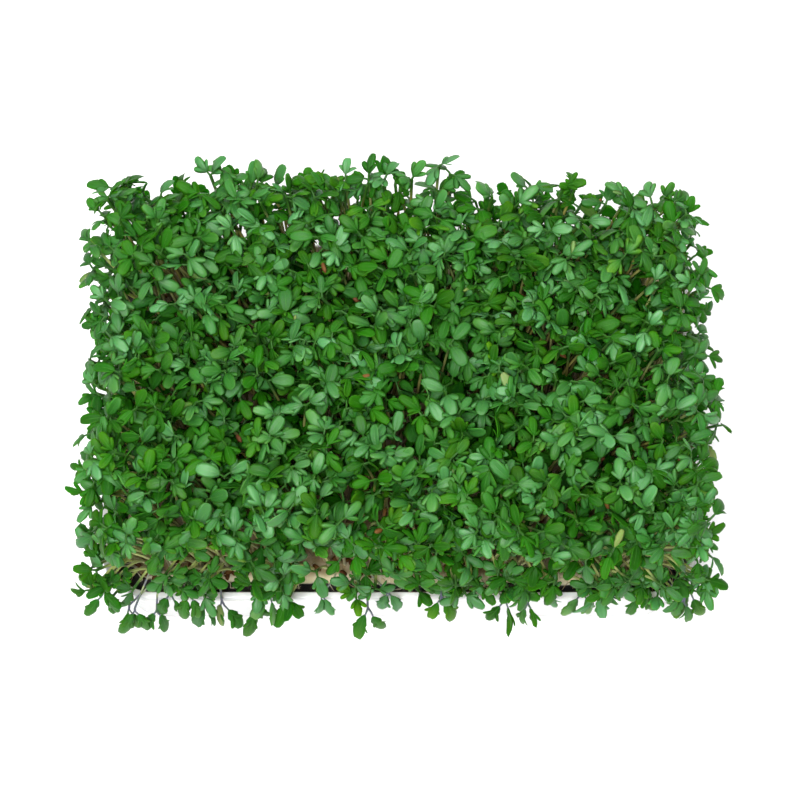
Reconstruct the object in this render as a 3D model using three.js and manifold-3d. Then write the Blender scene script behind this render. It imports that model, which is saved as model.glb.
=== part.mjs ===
// Garden cress sown thickly on a fibre mat, in a shallow white tray.
// The tray stands on z = 0 with its middle at the origin. Its long side runs along x, and its front faces -y.
// The seedlings grow in tufts. A tuft is one solid: a root cushion in a hole of the mat, thin stems rising
// from it, and on each stem a pair of seed leaves, every leaf cut into three lobes.
import * as THREE from "three";
import { mergeVertices } from "three/addons/utils/BufferGeometryUtils.js";
import Module from "manifold-3d";

const wasm = await Module();
wasm.setup();

// Driving dimensions, in millimetres and degrees.
const GAP = 0.3; // between pieces that touch on the real thing
const TRAY = {
  width: 156,
  depth: 101,
  height: 32,
  corner: 14,
  cornerSegments: 5,
  wall: 1.1,
  rim: 1.9,
  lip: 2.4,
  edge: 0.5, // rounding of the rim
  foot: 1.2, // bevel round the underside
  draft: 5,
};
const MAT = { width: 143, depth: 88, thickness: 3.5, top: 28, corner: 6, setBack: 1, points: 44 };
const TEAR = { depth: 0.35, slow: 11, quick: 17, quickShare: 0.6 }; // the mat's torn edge
const BED = { columns: 8, rows: 5, width: 122, depth: 70, setBack: 2 };
const CUSHION = { radius: 3.6, sides: 4, rise: 1 };
const STEM = { radius: 0.75, steps: 2, sunk: 1.6, rootRing: 1.4, upright: 0.6 };
const CANOPY = { width: 143, depth: 86, setBack: 1, heights: [28, 33.5, 39, 44] };
const EDGE_OF_CANOPY = { drop: 4, dropPower: 6, tilt: 0.35, tiltPower: 3 };
// Seedlings of the front row that hang over the rim. One that hangs lower reaches further out.
const DROOP = { reach: 52, height: 9.5, loose: 4, outward: 0.4, arch: 24, tilt: 1.3 };
const LEAF = { length: 12.4, shortest: 0.7, thickness: 1.2, rise: 0.42, fall: 0.36, cup: 0.25 };
const JITTER = { across: 1.8, height: 1.4, tilt: 0.14, rise: 0.12, length: 0.1 };
const SEARCH = { near: 3, shift: 2.5, sides: 8, turns: 24, shrinks: 4, gap: 0.5 };
const DISC = { stemSamples: 9, stemHalf: 2.8, leafHalf: 1.3 };
const SEED = 15;

const COLOURS = { tray: 0xf4f4f2, compost: 0x16100c, mat: 0xd8cba0, cress: 0x2f8f3c };

// A stream of numbers from 0 to 1, the same for the same seed.
function drawsFrom(seed) {
  let state = seed;
  return () => {
    state = (state * 1664525 + 1013904223) % 4294967296;
    return state / 4294967296;
  };
}

function solidOf(geometry) {
  const bare = geometry.clone();
  bare.deleteAttribute("normal");
  bare.deleteAttribute("uv");
  const merged = mergeVertices(bare, 1e-4);
  const vertProperties = new Float32Array(merged.attributes.position.array);
  const triVerts = new Uint32Array(merged.index.array);
  return new wasm.Manifold(new wasm.Mesh({ numProp: 3, vertProperties, triVerts }));
}

function meshOf(name, solid, material) {
  const { vertProperties, triVerts } = solid.getMesh();
  const geometry = new THREE.BufferGeometry();
  geometry.setAttribute("position", new THREE.BufferAttribute(vertProperties, 3));
  geometry.setIndex(new THREE.BufferAttribute(triVerts, 1));
  geometry.computeVertexNormals();
  const mesh = new THREE.Mesh(geometry, material);
  mesh.name = name;
  return mesh;
}

function roundedRectangle(width, depth, corner) {
  const x = width / 2 - corner;
  const y = depth / 2 - corner;
  const shape = new THREE.Shape();
  shape.absarc(x, y, corner, 0, Math.PI / 2);
  shape.absarc(-x, y, corner, Math.PI / 2, Math.PI);
  shape.absarc(-x, -y, corner, Math.PI, 1.5 * Math.PI);
  shape.absarc(x, -y, corner, 1.5 * Math.PI, 2 * Math.PI);
  return shape;
}

const slope = Math.tan(THREE.MathUtils.degToRad(TRAY.draft));
const innerHalf = (full, z) => full / 2 - TRAY.rim - (TRAY.height - z) * slope;

// The tray's wall and rim are a round dish's, turned on a lathe and pulled apart into a rounded rectangle.
function traySolid() {
  const { width, depth, height, corner, cornerSegments, wall, rim, lip, edge, foot } = TRAY;
  const inside = (z) => corner - rim - (height - z) * slope;
  const outside = (z) => inside(z) + wall;
  const floorEdge = corner / 3;
  const profile = [
    [floorEdge, 0],
    [outside(0) - foot, 0],
    [outside(foot), foot],
    [outside(height - wall), height - wall],
    [corner - wall, height - wall],
    [corner - wall, height - lip],
    [corner, height - lip],
    [corner, height - edge],
    [corner - edge, height],
    [inside(height) + edge, height],
    [inside(height - edge), height - edge],
    [inside(wall), wall],
    [floorEdge, wall],
    [floorEdge, 0],
  ];
  const halfStep = Math.PI / (4 * cornerSegments);
  const points = profile.map(([r, z]) => new THREE.Vector2(r, z));
  const ring = new THREE.LatheGeometry(points, 4 * cornerSegments, halfStep);
  ring.rotateX(Math.PI / 2);
  const at = ring.attributes.position;
  for (let i = 0; i < at.count; i++) {
    at.setX(i, at.getX(i) + Math.sign(at.getX(i)) * (width / 2 - corner));
    at.setY(i, at.getY(i) + Math.sign(at.getY(i)) * (depth / 2 - corner));
  }
  const reach = 2 * (floorEdge + wall - corner); // the floor slab ends inside the ring's own floor
  const floor = new THREE.BoxGeometry(width + reach, depth + reach, wall);
  floor.translate(0, 0, wall / 2);
  return solidOf(ring).add(solidOf(floor));
}

// Damp compost fills the tray up to the underside of the mat and follows the slope of the walls.
function compostSolid() {
  const bottom = TRAY.wall + GAP;
  const top = MAT.top - MAT.thickness - GAP;
  const width = 2 * (innerHalf(TRAY.width, top) - GAP);
  const depth = 2 * (innerHalf(TRAY.depth, top) - GAP);
  const shape = roundedRectangle(width, depth, TRAY.corner - TRAY.rim);
  const filling = { depth: top - bottom, bevelEnabled: false, curveSegments: TRAY.cornerSegments };
  const block = new THREE.ExtrudeGeometry(shape, filling);
  block.translate(0, 0, bottom);
  const at = block.attributes.position;
  for (let i = 0; i < at.count; i++) {
    const inset = (top - at.getZ(i)) * slope;
    at.setX(i, at.getX(i) - Math.sign(at.getX(i)) * inset);
    at.setY(i, at.getY(i) - Math.sign(at.getY(i)) * inset);
  }
  return solidOf(block);
}

// From -1 at the first of a row of places to 1 at the last.
const share = (index, count) => (2 * index) / (count - 1) - 1;

const tufts = [];
for (let row = 0; row < BED.rows; row++) {
  for (let column = 0; column < BED.columns; column++) {
    const x = (share(column, BED.columns) * BED.width) / 2;
    const y = BED.setBack + (share(row, BED.rows) * BED.depth) / 2;
    tufts.push({ row, column, x, y });
  }
}

function cushionOutline(x, y, radius) {
  const outline = new THREE.Path();
  outline.setFromPoints(
    Array.from({ length: CUSHION.sides }, (_, i) => {
      const angle = (2 * Math.PI * i) / CUSHION.sides;
      return new THREE.Vector2(x + radius * Math.cos(angle), y + radius * Math.sin(angle));
    }),
  );
  return outline;
}

// The mat is a torn-edged pad of pale fibre with a plain hole for each root cushion.
function matSolid() {
  const even = roundedRectangle(MAT.width, MAT.depth, MAT.corner).getSpacedPoints(MAT.points).slice(0, -1);
  const torn = even.map((p, i) => {
    const wave = Math.sin(TEAR.slow * i) + TEAR.quickShare * Math.sin(TEAR.quick * i);
    return p.setLength(p.length() + TEAR.depth * wave).add(new THREE.Vector2(0, MAT.setBack));
  });
  const shape = new THREE.Shape(torn);
  for (const { x, y } of tufts) shape.holes.push(cushionOutline(x, y, CUSHION.radius + GAP));
  const pad = new THREE.ExtrudeGeometry(shape, { depth: MAT.thickness, bevelEnabled: false });
  pad.translate(0, 0, MAT.top - MAT.thickness);
  return solidOf(pad);
}

// One seedling's stem: where it is rooted, where it carries its leaves, and which way they face.
function stemOf(number, top, normal, arch) {
  const tuft = tufts[number];
  const aside = new THREE.Vector3(top.x - tuft.x, top.y - tuft.y, 0).setLength(STEM.rootRing);
  const root = new THREE.Vector3(tuft.x, tuft.y, MAT.top + CUSHION.rise).add(aside);
  const control = arch
    ? new THREE.Vector3(root.x, (root.y + top.y) / 2, MAT.top + arch)
    : root.clone().setZ(MAT.top + STEM.upright * (top.z - MAT.top));
  const curve = new THREE.QuadraticBezierCurve3(root, control, top);
  return { number, top, normal: normal.normalize(), arch, root, control, curve };
}

// The four seedlings of a tuft carry their leaves in a square of the canopy, each at its own height.
function uprightStems(number, draw) {
  const { row, column } = tufts[number];
  const swing = (size) => size * (2 * draw() - 1);
  return [0, 1, 2, 3].map((corner) => {
    const across = 2 * column + (corner % 2);
    const back = 2 * row + Math.floor(corner / 2);
    const outX = share(across, 2 * BED.columns);
    const outY = share(back, 2 * BED.rows);
    const level = (across + 2 * back) % CANOPY.heights.length;
    const { drop, dropPower, tilt, tiltPower } = EDGE_OF_CANOPY;
    const sunk = drop * Math.max(outX ** dropPower, outY ** dropPower);
    const top = new THREE.Vector3(
      (CANOPY.width / 2) * outX + swing(JITTER.across),
      CANOPY.setBack + (CANOPY.depth / 2) * outY + swing(JITTER.across),
      MAT.top + CANOPY.heights[level] - sunk + swing(JITTER.height),
    );
    const tiltX = tilt * outX ** tiltPower + swing(JITTER.tilt);
    const tiltY = tilt * outY ** tiltPower + swing(JITTER.tilt);
    return stemOf(number, top, new THREE.Vector3(tiltX, tiltY, 1));
  });
}

function droopingStem(number, draw) {
  const swing = (size) => size * (2 * draw() - 1);
  const x = tufts[number].x * (CANOPY.width / BED.width) + swing(DROOP.loose);
  const hang = swing(DROOP.loose);
  const top = new THREE.Vector3(x, -DROOP.reach - DROOP.outward * hang, MAT.top + DROOP.height - hang);
  return stemOf(number, top, new THREE.Vector3(swing(JITTER.tilt), -DROOP.tilt, 1), DROOP.arch);
}

// A leaf pair's height over its node, from the share of the leaf's length out along the pair and across it.
const liftOf = (u, v, rise) => rise * Math.abs(u) - LEAF.fall * u * u + LEAF.cup * v * v;

// Turns a point of the leaf pair, in shares of the leaf's length, to its place on the seedling.
function leafFrame(stem, azimuth, length, rise) {
  const along = new THREE.Vector3(Math.cos(azimuth), Math.sin(azimuth), 0);
  const across = new THREE.Vector3().crossVectors(stem.normal, along).normalize();
  along.crossVectors(across, stem.normal);
  return (u, v, proud = 0) =>
    stem.top
      .clone()
      .addScaledVector(along, u * length)
      .addScaledVector(across, v * length)
      .addScaledVector(stem.normal, liftOf(u, v, rise) * length + proud);
}

// Flat discs that stand for a leaf pair and for a stem while the seedlings are kept clear of each other:
// [out along the pair, across it, radius], in shares of the leaf's length.
const LEAF_DISCS = [-1, 1].flatMap((side) => [
  [side * 0.35, 0, 0.15],
  [side * 0.62, 0, 0.22],
  [side * 0.88, 0, 0.16],
  ...[-1, 1].flatMap((hand) => [
    [side * 0.26, hand * 0.2, 0.13],
    [side * 0.45, hand * 0.38, 0.12],
  ]),
]);

function discsOfLeaves(stem, azimuth, length, rise) {
  const place = leafFrame(stem, azimuth, length, rise);
  return LEAF_DISCS.map(([u, v, r]) => ({ at: place(u, v), radius: r * length, half: DISC.leafHalf }));
}

function discsOfStem(stem) {
  return Array.from({ length: DISC.stemSamples }, (_, i) => {
    const at = stem.curve.getPoint((i + 1) / (DISC.stemSamples + 1));
    return { at, radius: STEM.radius, half: DISC.stemHalf };
  });
}

// How far one set of discs presses into another, summed.
function pressing(discs, others) {
  let sum = 0;
  for (const a of discs) {
    for (const b of others) {
      if (Math.abs(a.at.z - b.at.z) >= a.half + b.half) continue;
      const room = a.radius + b.radius + SEARCH.gap - Math.hypot(a.at.x - b.at.x, a.at.y - b.at.y);
      if (room > 0) sum += room;
    }
  }
  return sum;
}

// Turns a seedling's leaves about its stem, and makes them a little smaller if need be, until they are clear
// of the other seedlings. Keeps the clearest choice where none is quite clear.
function turnLeaves(s, stem, near) {
  const stemDiscs = discsOfStem(stem);
  const others = [...stemDiscs, ...near.flatMap((other) => [...other.stemDiscs, ...other.leafDiscs])];
  const onStem = pressing(stemDiscs, near.flatMap((other) => other.leafDiscs));
  for (let i = 0; i < SEARCH.turns * SEARCH.shrinks && s.pressed > onStem; i++) {
    const shrink = Math.floor(i / SEARCH.turns) / (SEARCH.shrinks - 1);
    const length = s.fullLength * (1 - (1 - LEAF.shortest) * shrink);
    const azimuth = s.turn + (Math.PI * i) / SEARCH.turns;
    const leafDiscs = discsOfLeaves(stem, azimuth, length, s.rise);
    const pressed = onStem + pressing(leafDiscs, others);
    if (pressed < s.pressed) Object.assign(s, stem, { azimuth, length, leafDiscs, stemDiscs, pressed });
  }
}

// Every seedling of the bed. The stems stand first. Then each seedling's leaves are turned to lie clear, with
// the top of its stem bent aside where that alone isn't enough.
function seedlingsOf() {
  const draw = drawsFrom(SEED);
  const stems = tufts.flatMap(({ row }, number) => {
    const upright = uprightStems(number, draw);
    return row === 0 ? [...upright, droopingStem(number, draw)] : upright;
  });
  const seedlings = stems.map((stem) => ({
    ...stem,
    stemDiscs: discsOfStem(stem),
    leafDiscs: [],
    turn: 2 * Math.PI * draw(),
    rise: LEAF.rise + JITTER.rise * (2 * draw() - 1),
    fullLength: LEAF.length * (1 + JITTER.length * (2 * draw() - 1)),
    pressed: Infinity,
  }));
  for (const s of seedlings) {
    const reach = SEARCH.near * LEAF.length;
    const near = seedlings.filter((other) => other !== s && other.top.distanceTo(s.top) < reach);
    const { number, top, normal, arch } = s;
    for (let side = 0; side <= SEARCH.sides && s.pressed > 0; side++) {
      const angle = (2 * Math.PI * side) / SEARCH.sides;
      const shift = side === 0 ? 0 : SEARCH.shift;
      const aside = new THREE.Vector3(shift * Math.cos(angle), shift * Math.sin(angle), 0);
      turnLeaves(s, stemOf(number, aside.add(top), normal, arch), near);
    }
  }
  return seedlings;
}

// Half of one leaf's edge, and where its ribs stand out: out along the leaf and across it, in shares of its
// length.
const EDGE = { belly: [0.2, 0.36], sideTip: [0.58, 0.55], notch: [0.36, 0.14], flank: [0.78, 0.24] };
const TIP = [1, 0];
const WAIST = [0, 0.11]; // shared by the two leaves
const RIBS = { centre: [0.64, 0], side: [0.37, 0.33] };

// The leaf pair laid flat: its points, with the stem's node first, and the triangles between them.
function flatPair() {
  const points = [];
  const triangles = [];
  const put = (side, hand, [u, v], rib = false) => points.push({ u: side * u, v: hand * v, rib }) - 1;
  const fan = (rib, loop) => loop.forEach((p, i) => triangles.push([rib, p, loop[(i + 1) % loop.length]]));
  const node = put(1, 1, [0, 0], true);
  const waists = { 1: put(1, 1, WAIST), [-1]: put(1, -1, WAIST) };
  for (const side of [1, -1]) {
    const [left, right] = [side, -side].map((hand) => {
      const half = {};
      for (const [name, place] of Object.entries(EDGE)) half[name] = put(side, hand, place);
      const loop = [node, half.notch, half.sideTip, half.belly, waists[hand]];
      fan(put(side, hand, RIBS.side, true), hand === side ? loop : loop.reverse());
      return half;
    });
    const loop = [node, right.notch, right.flank, put(side, 1, TIP), left.flank, left.notch];
    fan(put(side, 1, RIBS.centre, true), loop);
  }
  return { points, triangles, node };
}

const PAIR = flatPair();

// Round its node the underside is shared out among the sides of the stem, from one of these ribs to the next.
const [sideU, sideV] = RIBS.side;
const BORDERS = [RIBS.centre, [-sideU, sideV], [-sideU, -sideV]].map(([u, v]) => ({
  point: PAIR.points.findIndex((p) => p.rib && p.u === u && p.v === v),
  angle: angleOf(u, v),
}));

function angleOf(u, v) {
  return (Math.atan2(v, u) + 2 * Math.PI) % (2 * Math.PI);
}

function stemSideOf(triangle) {
  const [u, v] = ["u", "v"].map((axis) => triangle.reduce((sum, i) => sum + PAIR.points[i][axis], 0));
  return BORDERS.filter((border) => angleOf(u, v) >= border.angle).length - 1;
}

// The stem's cross-sections from its sunk root to its collar on the underside of the leaves.
function stemRings(s, place, collarCentre) {
  const below = s.root.clone().setZ(s.root.z - STEM.sunk);
  const curve = new THREE.QuadraticBezierCurve3(below, s.control, collarCentre);
  const aside = place(0, 1).sub(place(0, -1)).normalize();
  const ends = [...BORDERS.slice(1).map((border) => border.angle), 2 * Math.PI];
  return Array.from({ length: STEM.steps + 1 }, (_, step) => {
    const centre = curve.getPoint(step / STEM.steps);
    const tangent = step < STEM.steps ? curve.getTangent(step / STEM.steps) : s.normal;
    const ahead = new THREE.Vector3().crossVectors(aside, tangent).normalize();
    const across = new THREE.Vector3().crossVectors(tangent, ahead);
    return BORDERS.map(({ angle }, i) => {
      const middle = (angle + ends[i]) / 2;
      const spoke = ahead.clone().multiplyScalar(Math.cos(middle)).addScaledVector(across, Math.sin(middle));
      return centre.clone().addScaledVector(spoke, STEM.radius);
    });
  });
}

// One seedling as one closed surface. The leaf pair is a thin lens, thick along its ribs and sharp at its lobed
// edge, and split alike on both faces. Its underside opens into the stem.
function seedlingGeometry(s) {
  const place = leafFrame(s, s.azimuth, s.length, s.rise);
  const positions = [];
  const triangles = [];
  const add = (point) => positions.push(point) - 1;
  const half = LEAF.thickness / 2;

  const rings = stemRings(s, place, place(0, 0, -half)).map((ring) => ring.map(add));
  const next = (i) => (i + 1) % BORDERS.length;
  triangles.push([...rings[0]].reverse());
  for (let step = 0; step < STEM.steps; step++) {
    rings[step].forEach((a, i) => {
      const [b, c, d] = [rings[step][next(i)], rings[step + 1][i], rings[step + 1][next(i)]];
      triangles.push([a, b, d], [a, d, c]);
    });
  }

  const collar = rings[STEM.steps];
  const upper = PAIR.points.map(({ u, v, rib }) => add(place(u, v, rib ? half : 0)));
  const lower = PAIR.points.map(({ u, v, rib }, i) => (rib ? add(place(u, v, -half)) : upper[i]));
  for (const flat of PAIR.triangles) {
    triangles.push(flat.map((i) => upper[i]));
    triangles.push(flat.map((i) => (i === PAIR.node ? collar[stemSideOf(flat)] : lower[i])).reverse());
  }
  BORDERS.forEach((_, i) => triangles.push([lower[BORDERS[next(i)].point], collar[i], collar[next(i)]]));

  const geometry = new THREE.BufferGeometry().setFromPoints(positions);
  geometry.setIndex(triangles.flat());
  return geometry;
}

function cushionGeometry({ x, y }) {
  const shape = new THREE.Shape(cushionOutline(x, y, CUSHION.radius).getPoints().slice(0, CUSHION.sides));
  const depth = MAT.thickness - GAP + CUSHION.rise;
  const cushion = new THREE.ExtrudeGeometry(shape, { depth, bevelEnabled: false });
  return cushion.translate(0, 0, MAT.top - MAT.thickness + GAP);
}

const part = new THREE.Group();
const finish = (color, roughness) => new THREE.MeshStandardMaterial({ color, roughness, metalness: 0 });

part.add(meshOf("tray", traySolid(), finish(COLOURS.tray, 0.35)));
part.add(meshOf("compost", compostSolid(), finish(COLOURS.compost, 0.95)));
part.add(meshOf("growing_mat", matSolid(), finish(COLOURS.mat, 0.9)));

const cress = finish(COLOURS.cress, 0.55);
const seedlings = seedlingsOf();
tufts.forEach((tuft, number) => {
  const grown = seedlings.filter((s) => s.number === number);
  const pieces = grown.map((s) => seedlingGeometry(s));
  const solid = pieces.reduce((whole, piece) => whole.add(solidOf(piece)), solidOf(cushionGeometry(tuft)));
  part.add(meshOf(`cress_tuft_r${tuft.row + 1}_c${tuft.column + 1}`, solid, cress));
});

export default part;
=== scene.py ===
"""Garden cress, sown thickly on a fibre mat in a shallow white tray, dressed for its picture.

Everything is in metres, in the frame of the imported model: the tray stands on z = 0 with its middle at the
origin, its long side runs along x, and its front faces -y.
"""

import logging
import math
import random
from dataclasses import dataclass, field
from enum import Enum

import bmesh
import bpy
import numpy as np
from mathutils import Matrix, Vector, noise


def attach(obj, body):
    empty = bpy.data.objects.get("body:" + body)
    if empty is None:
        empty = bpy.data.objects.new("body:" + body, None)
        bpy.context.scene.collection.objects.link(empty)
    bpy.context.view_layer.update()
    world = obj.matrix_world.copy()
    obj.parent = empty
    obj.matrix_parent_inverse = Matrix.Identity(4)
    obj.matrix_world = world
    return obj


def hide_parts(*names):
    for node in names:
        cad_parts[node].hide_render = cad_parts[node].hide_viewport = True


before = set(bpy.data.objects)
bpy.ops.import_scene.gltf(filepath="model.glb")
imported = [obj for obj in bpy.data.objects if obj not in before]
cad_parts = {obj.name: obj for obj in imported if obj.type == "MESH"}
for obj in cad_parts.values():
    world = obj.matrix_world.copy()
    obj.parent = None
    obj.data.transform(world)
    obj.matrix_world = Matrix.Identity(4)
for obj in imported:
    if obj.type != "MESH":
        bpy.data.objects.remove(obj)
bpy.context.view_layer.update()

log = logging.getLogger("cress")
MM = 0.001
TURN = 2 * math.pi
UP = Vector((0, 0, 1))
Colour = tuple[float, float, float]
Point = tuple[float, float, float]
Span = tuple[float, float]
Material = bpy.types.Material
Piece = bpy.types.Object
Random = random.Random
Socket = bpy.types.NodeSocket


class Draws:
    """A stream of numbers from 0 to 1, the same for the same seed, as the tray's plan draws them."""

    def __init__(self, seed: int) -> None:
        """Starts the stream at a seed."""
        self.state = seed

    def draw(self) -> float:
        """The next number, from 0 to 1."""
        self.state = (self.state * 1664525 + 1013904223) % 4294967296
        return self.state / 4294967296

    def swing(self, size: float) -> float:
        """The next number, from -size to size."""
        return size * (2 * self.draw() - 1)


def share(index: int, count: int) -> float:
    """From -1 at the first of a row of places to 1 at the last.

    Args:
        index: the place, from 0.
        count: how many places the row has.

    Returns:
        The place's share of the half row.
    """
    return 2 * index / (count - 1) - 1


def within(value: float, low: float, high: float) -> float:
    """Keeps a value between two limits.

    Args:
        value: the value.
        low: the lower limit.
        high: the upper limit.

    Returns:
        The value, or the limit that it passes.
    """
    return max(low, min(high, value))


def bezier(root: Vector, control: Vector, top: Vector, steps: int) -> list[Vector]:
    """Points along an arch of one bend.

    Args:
        root: where it starts.
        control: the point that it bends towards.
        top: where it ends.
        steps: how many stretches it has.

    Returns:
        The points, from root to top.
    """
    made = []
    for i in range(steps + 1):
        t = i / steps
        made.append(root * (1 - t) ** 2 + control * (2 * t * (1 - t)) + top * t**2)
    return made


def squared(along: Vector, normal: Vector) -> tuple[Vector, Vector, Vector]:
    """Three directions at right angles: along, across and up.

    Args:
        along: the direction that is kept.
        normal: roughly the way up.

    Returns:
        The unit vectors along, across and up.
    """
    along = along.normalized()
    across = normal.cross(along).normalized()
    return along, across, along.cross(across)


class Board:
    """A material's nodes, wired by name."""

    def __init__(self, name: str) -> None:
        """Makes the material with its one shader and its output."""
        self.material = bpy.data.materials.new(name)
        self.material.use_nodes = True
        self.nodes = self.material.node_tree.nodes
        self.links = self.material.node_tree.links
        self.nodes.clear()
        self.shader = self.nodes.new("ShaderNodeBsdfPrincipled")
        output = self.nodes.new("ShaderNodeOutputMaterial")
        self.links.new(self.shader.outputs["BSDF"], output.inputs["Surface"])

    def feed(self, socket: Socket, value: object) -> None:
        """Sets a socket to a value, or wires another node's output to it.

        Args:
            socket: the input.
            value: a number, a colour, a vector or an output socket.
        """
        if isinstance(value, Socket):
            self.links.new(value, socket)
        elif socket.type == "RGBA" and len(value) == 3:
            socket.default_value = (*value, 1)
        else:
            socket.default_value = value

    def set(self, **values: object) -> None:
        """Sets the shader's sockets, named with _ for each space."""
        for name, value in values.items():
            self.feed(self.shader.inputs[name.replace("_", " ")], value)

    def place(self) -> Socket:
        """The place on the piece, in its own coordinates."""
        return self.nodes.new("ShaderNodeTexCoord").outputs["Object"]

    def read(self, name: str, output: str = "Fac") -> Socket:
        """The output that reads a named attribute of the mesh."""
        node = self.nodes.new("ShaderNodeAttribute")
        node.attribute_name = name
        return node.outputs[output]

    def split(self, vector: Socket) -> bpy.types.NodeOutputs:
        """The x, y and z of a vector."""
        node = self.nodes.new("ShaderNodeSeparateXYZ")
        self.feed(node.inputs[0], vector)
        return node.outputs

    def math(self, operation: str, a: object, b: object = 0.0, clamp: bool = False) -> Socket:
        """One sum.

        Args:
            operation: its name, such as MULTIPLY.
            a: the first number or output.
            b: the second.
            clamp: whether the result is kept from 0 to 1.

        Returns:
            The output that carries the result.
        """
        node = self.nodes.new("ShaderNodeMath")
        node.operation = operation
        node.use_clamp = clamp
        self.feed(node.inputs[0], a)
        self.feed(node.inputs[1], b)
        return node.outputs[0]

    def plus(self, a: object, b: object, clamp: bool = False) -> Socket:
        """Two numbers added."""
        return self.math("ADD", a, b, clamp)

    def times(self, a: object, b: object, clamp: bool = False) -> Socket:
        """Two numbers multiplied."""
        return self.math("MULTIPLY", a, b, clamp)

    def less(self, a: object, b: object) -> Socket:
        """The second number taken from the first."""
        return self.math("SUBTRACT", a, b)

    def rest(self, a: object) -> Socket:
        """What a number leaves of 1."""
        return self.less(1.0, a)

    def mix(self, share_of_b: object, a: object, b: object) -> Socket:
        """One colour laid over another.

        Args:
            share_of_b: how much of b shows.
            a: the colour underneath.
            b: the colour on top.

        Returns:
            The output that carries the mixed colour.
        """
        node = self.nodes.new("ShaderNodeMix")
        node.data_type = "RGBA"
        sockets = {s.identifier: s for s in node.inputs}
        self.feed(sockets["Factor_Float"], share_of_b)
        self.feed(sockets["A_Color"], a)
        self.feed(sockets["B_Color"], b)
        return next(s for s in node.outputs if s.identifier == "Result_Color")

    def ramp(self, value: object, low: float, high: float) -> Socket:
        """A soft step from 0 at low to 1 at high."""
        node = self.nodes.new("ShaderNodeMapRange")
        node.interpolation_type = "SMOOTHSTEP"
        self.feed(node.inputs["Value"], value)
        node.inputs["From Min"].default_value = low
        node.inputs["From Max"].default_value = high
        return node.outputs["Result"]

    def span(self, value: object, low: float, high: float) -> Socket:
        """A value from 0 to 1, spread from low to high."""
        node = self.nodes.new("ShaderNodeMapRange")
        self.feed(node.inputs["Value"], value)
        node.inputs["To Min"].default_value = low
        node.inputs["To Max"].default_value = high
        return node.outputs["Result"]

    def noise(self, scale: float, detail: float = 2.0, stretch: Point = (1, 1, 1)) -> Socket:
        """A cloudy value round 0.5, read at the place on the piece.

        Args:
            scale: how fine it is, in waves to the metre.
            detail: how many finer layers it has.
            stretch: how much finer it is along each axis.

        Returns:
            The output that carries the value.
        """
        mapping = self.nodes.new("ShaderNodeMapping")
        self.feed(mapping.inputs["Vector"], self.place())
        mapping.inputs["Scale"].default_value = stretch
        node = self.nodes.new("ShaderNodeTexNoise")
        self.links.new(mapping.outputs[0], node.inputs["Vector"])
        node.inputs["Scale"].default_value = scale
        node.inputs["Detail"].default_value = detail
        return node.outputs["Fac"]

    def bump(self, height: object, strength: float, distance: float,
             under: object = None) -> Socket:
        """Relief from a height.

        Args:
            height: the output that carries it.
            strength: from 0 to 1.
            distance: how high a value of 1 stands, in metres.
            under: the normal of a coarser relief below it.

        Returns:
            The output that carries the normal.
        """
        node = self.nodes.new("ShaderNodeBump")
        node.inputs["Strength"].default_value = strength
        node.inputs["Distance"].default_value = distance
        self.feed(node.inputs["Height"], height)
        if under is not None:
            self.feed(node.inputs["Normal"], under)
        return node.outputs["Normal"]


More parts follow.
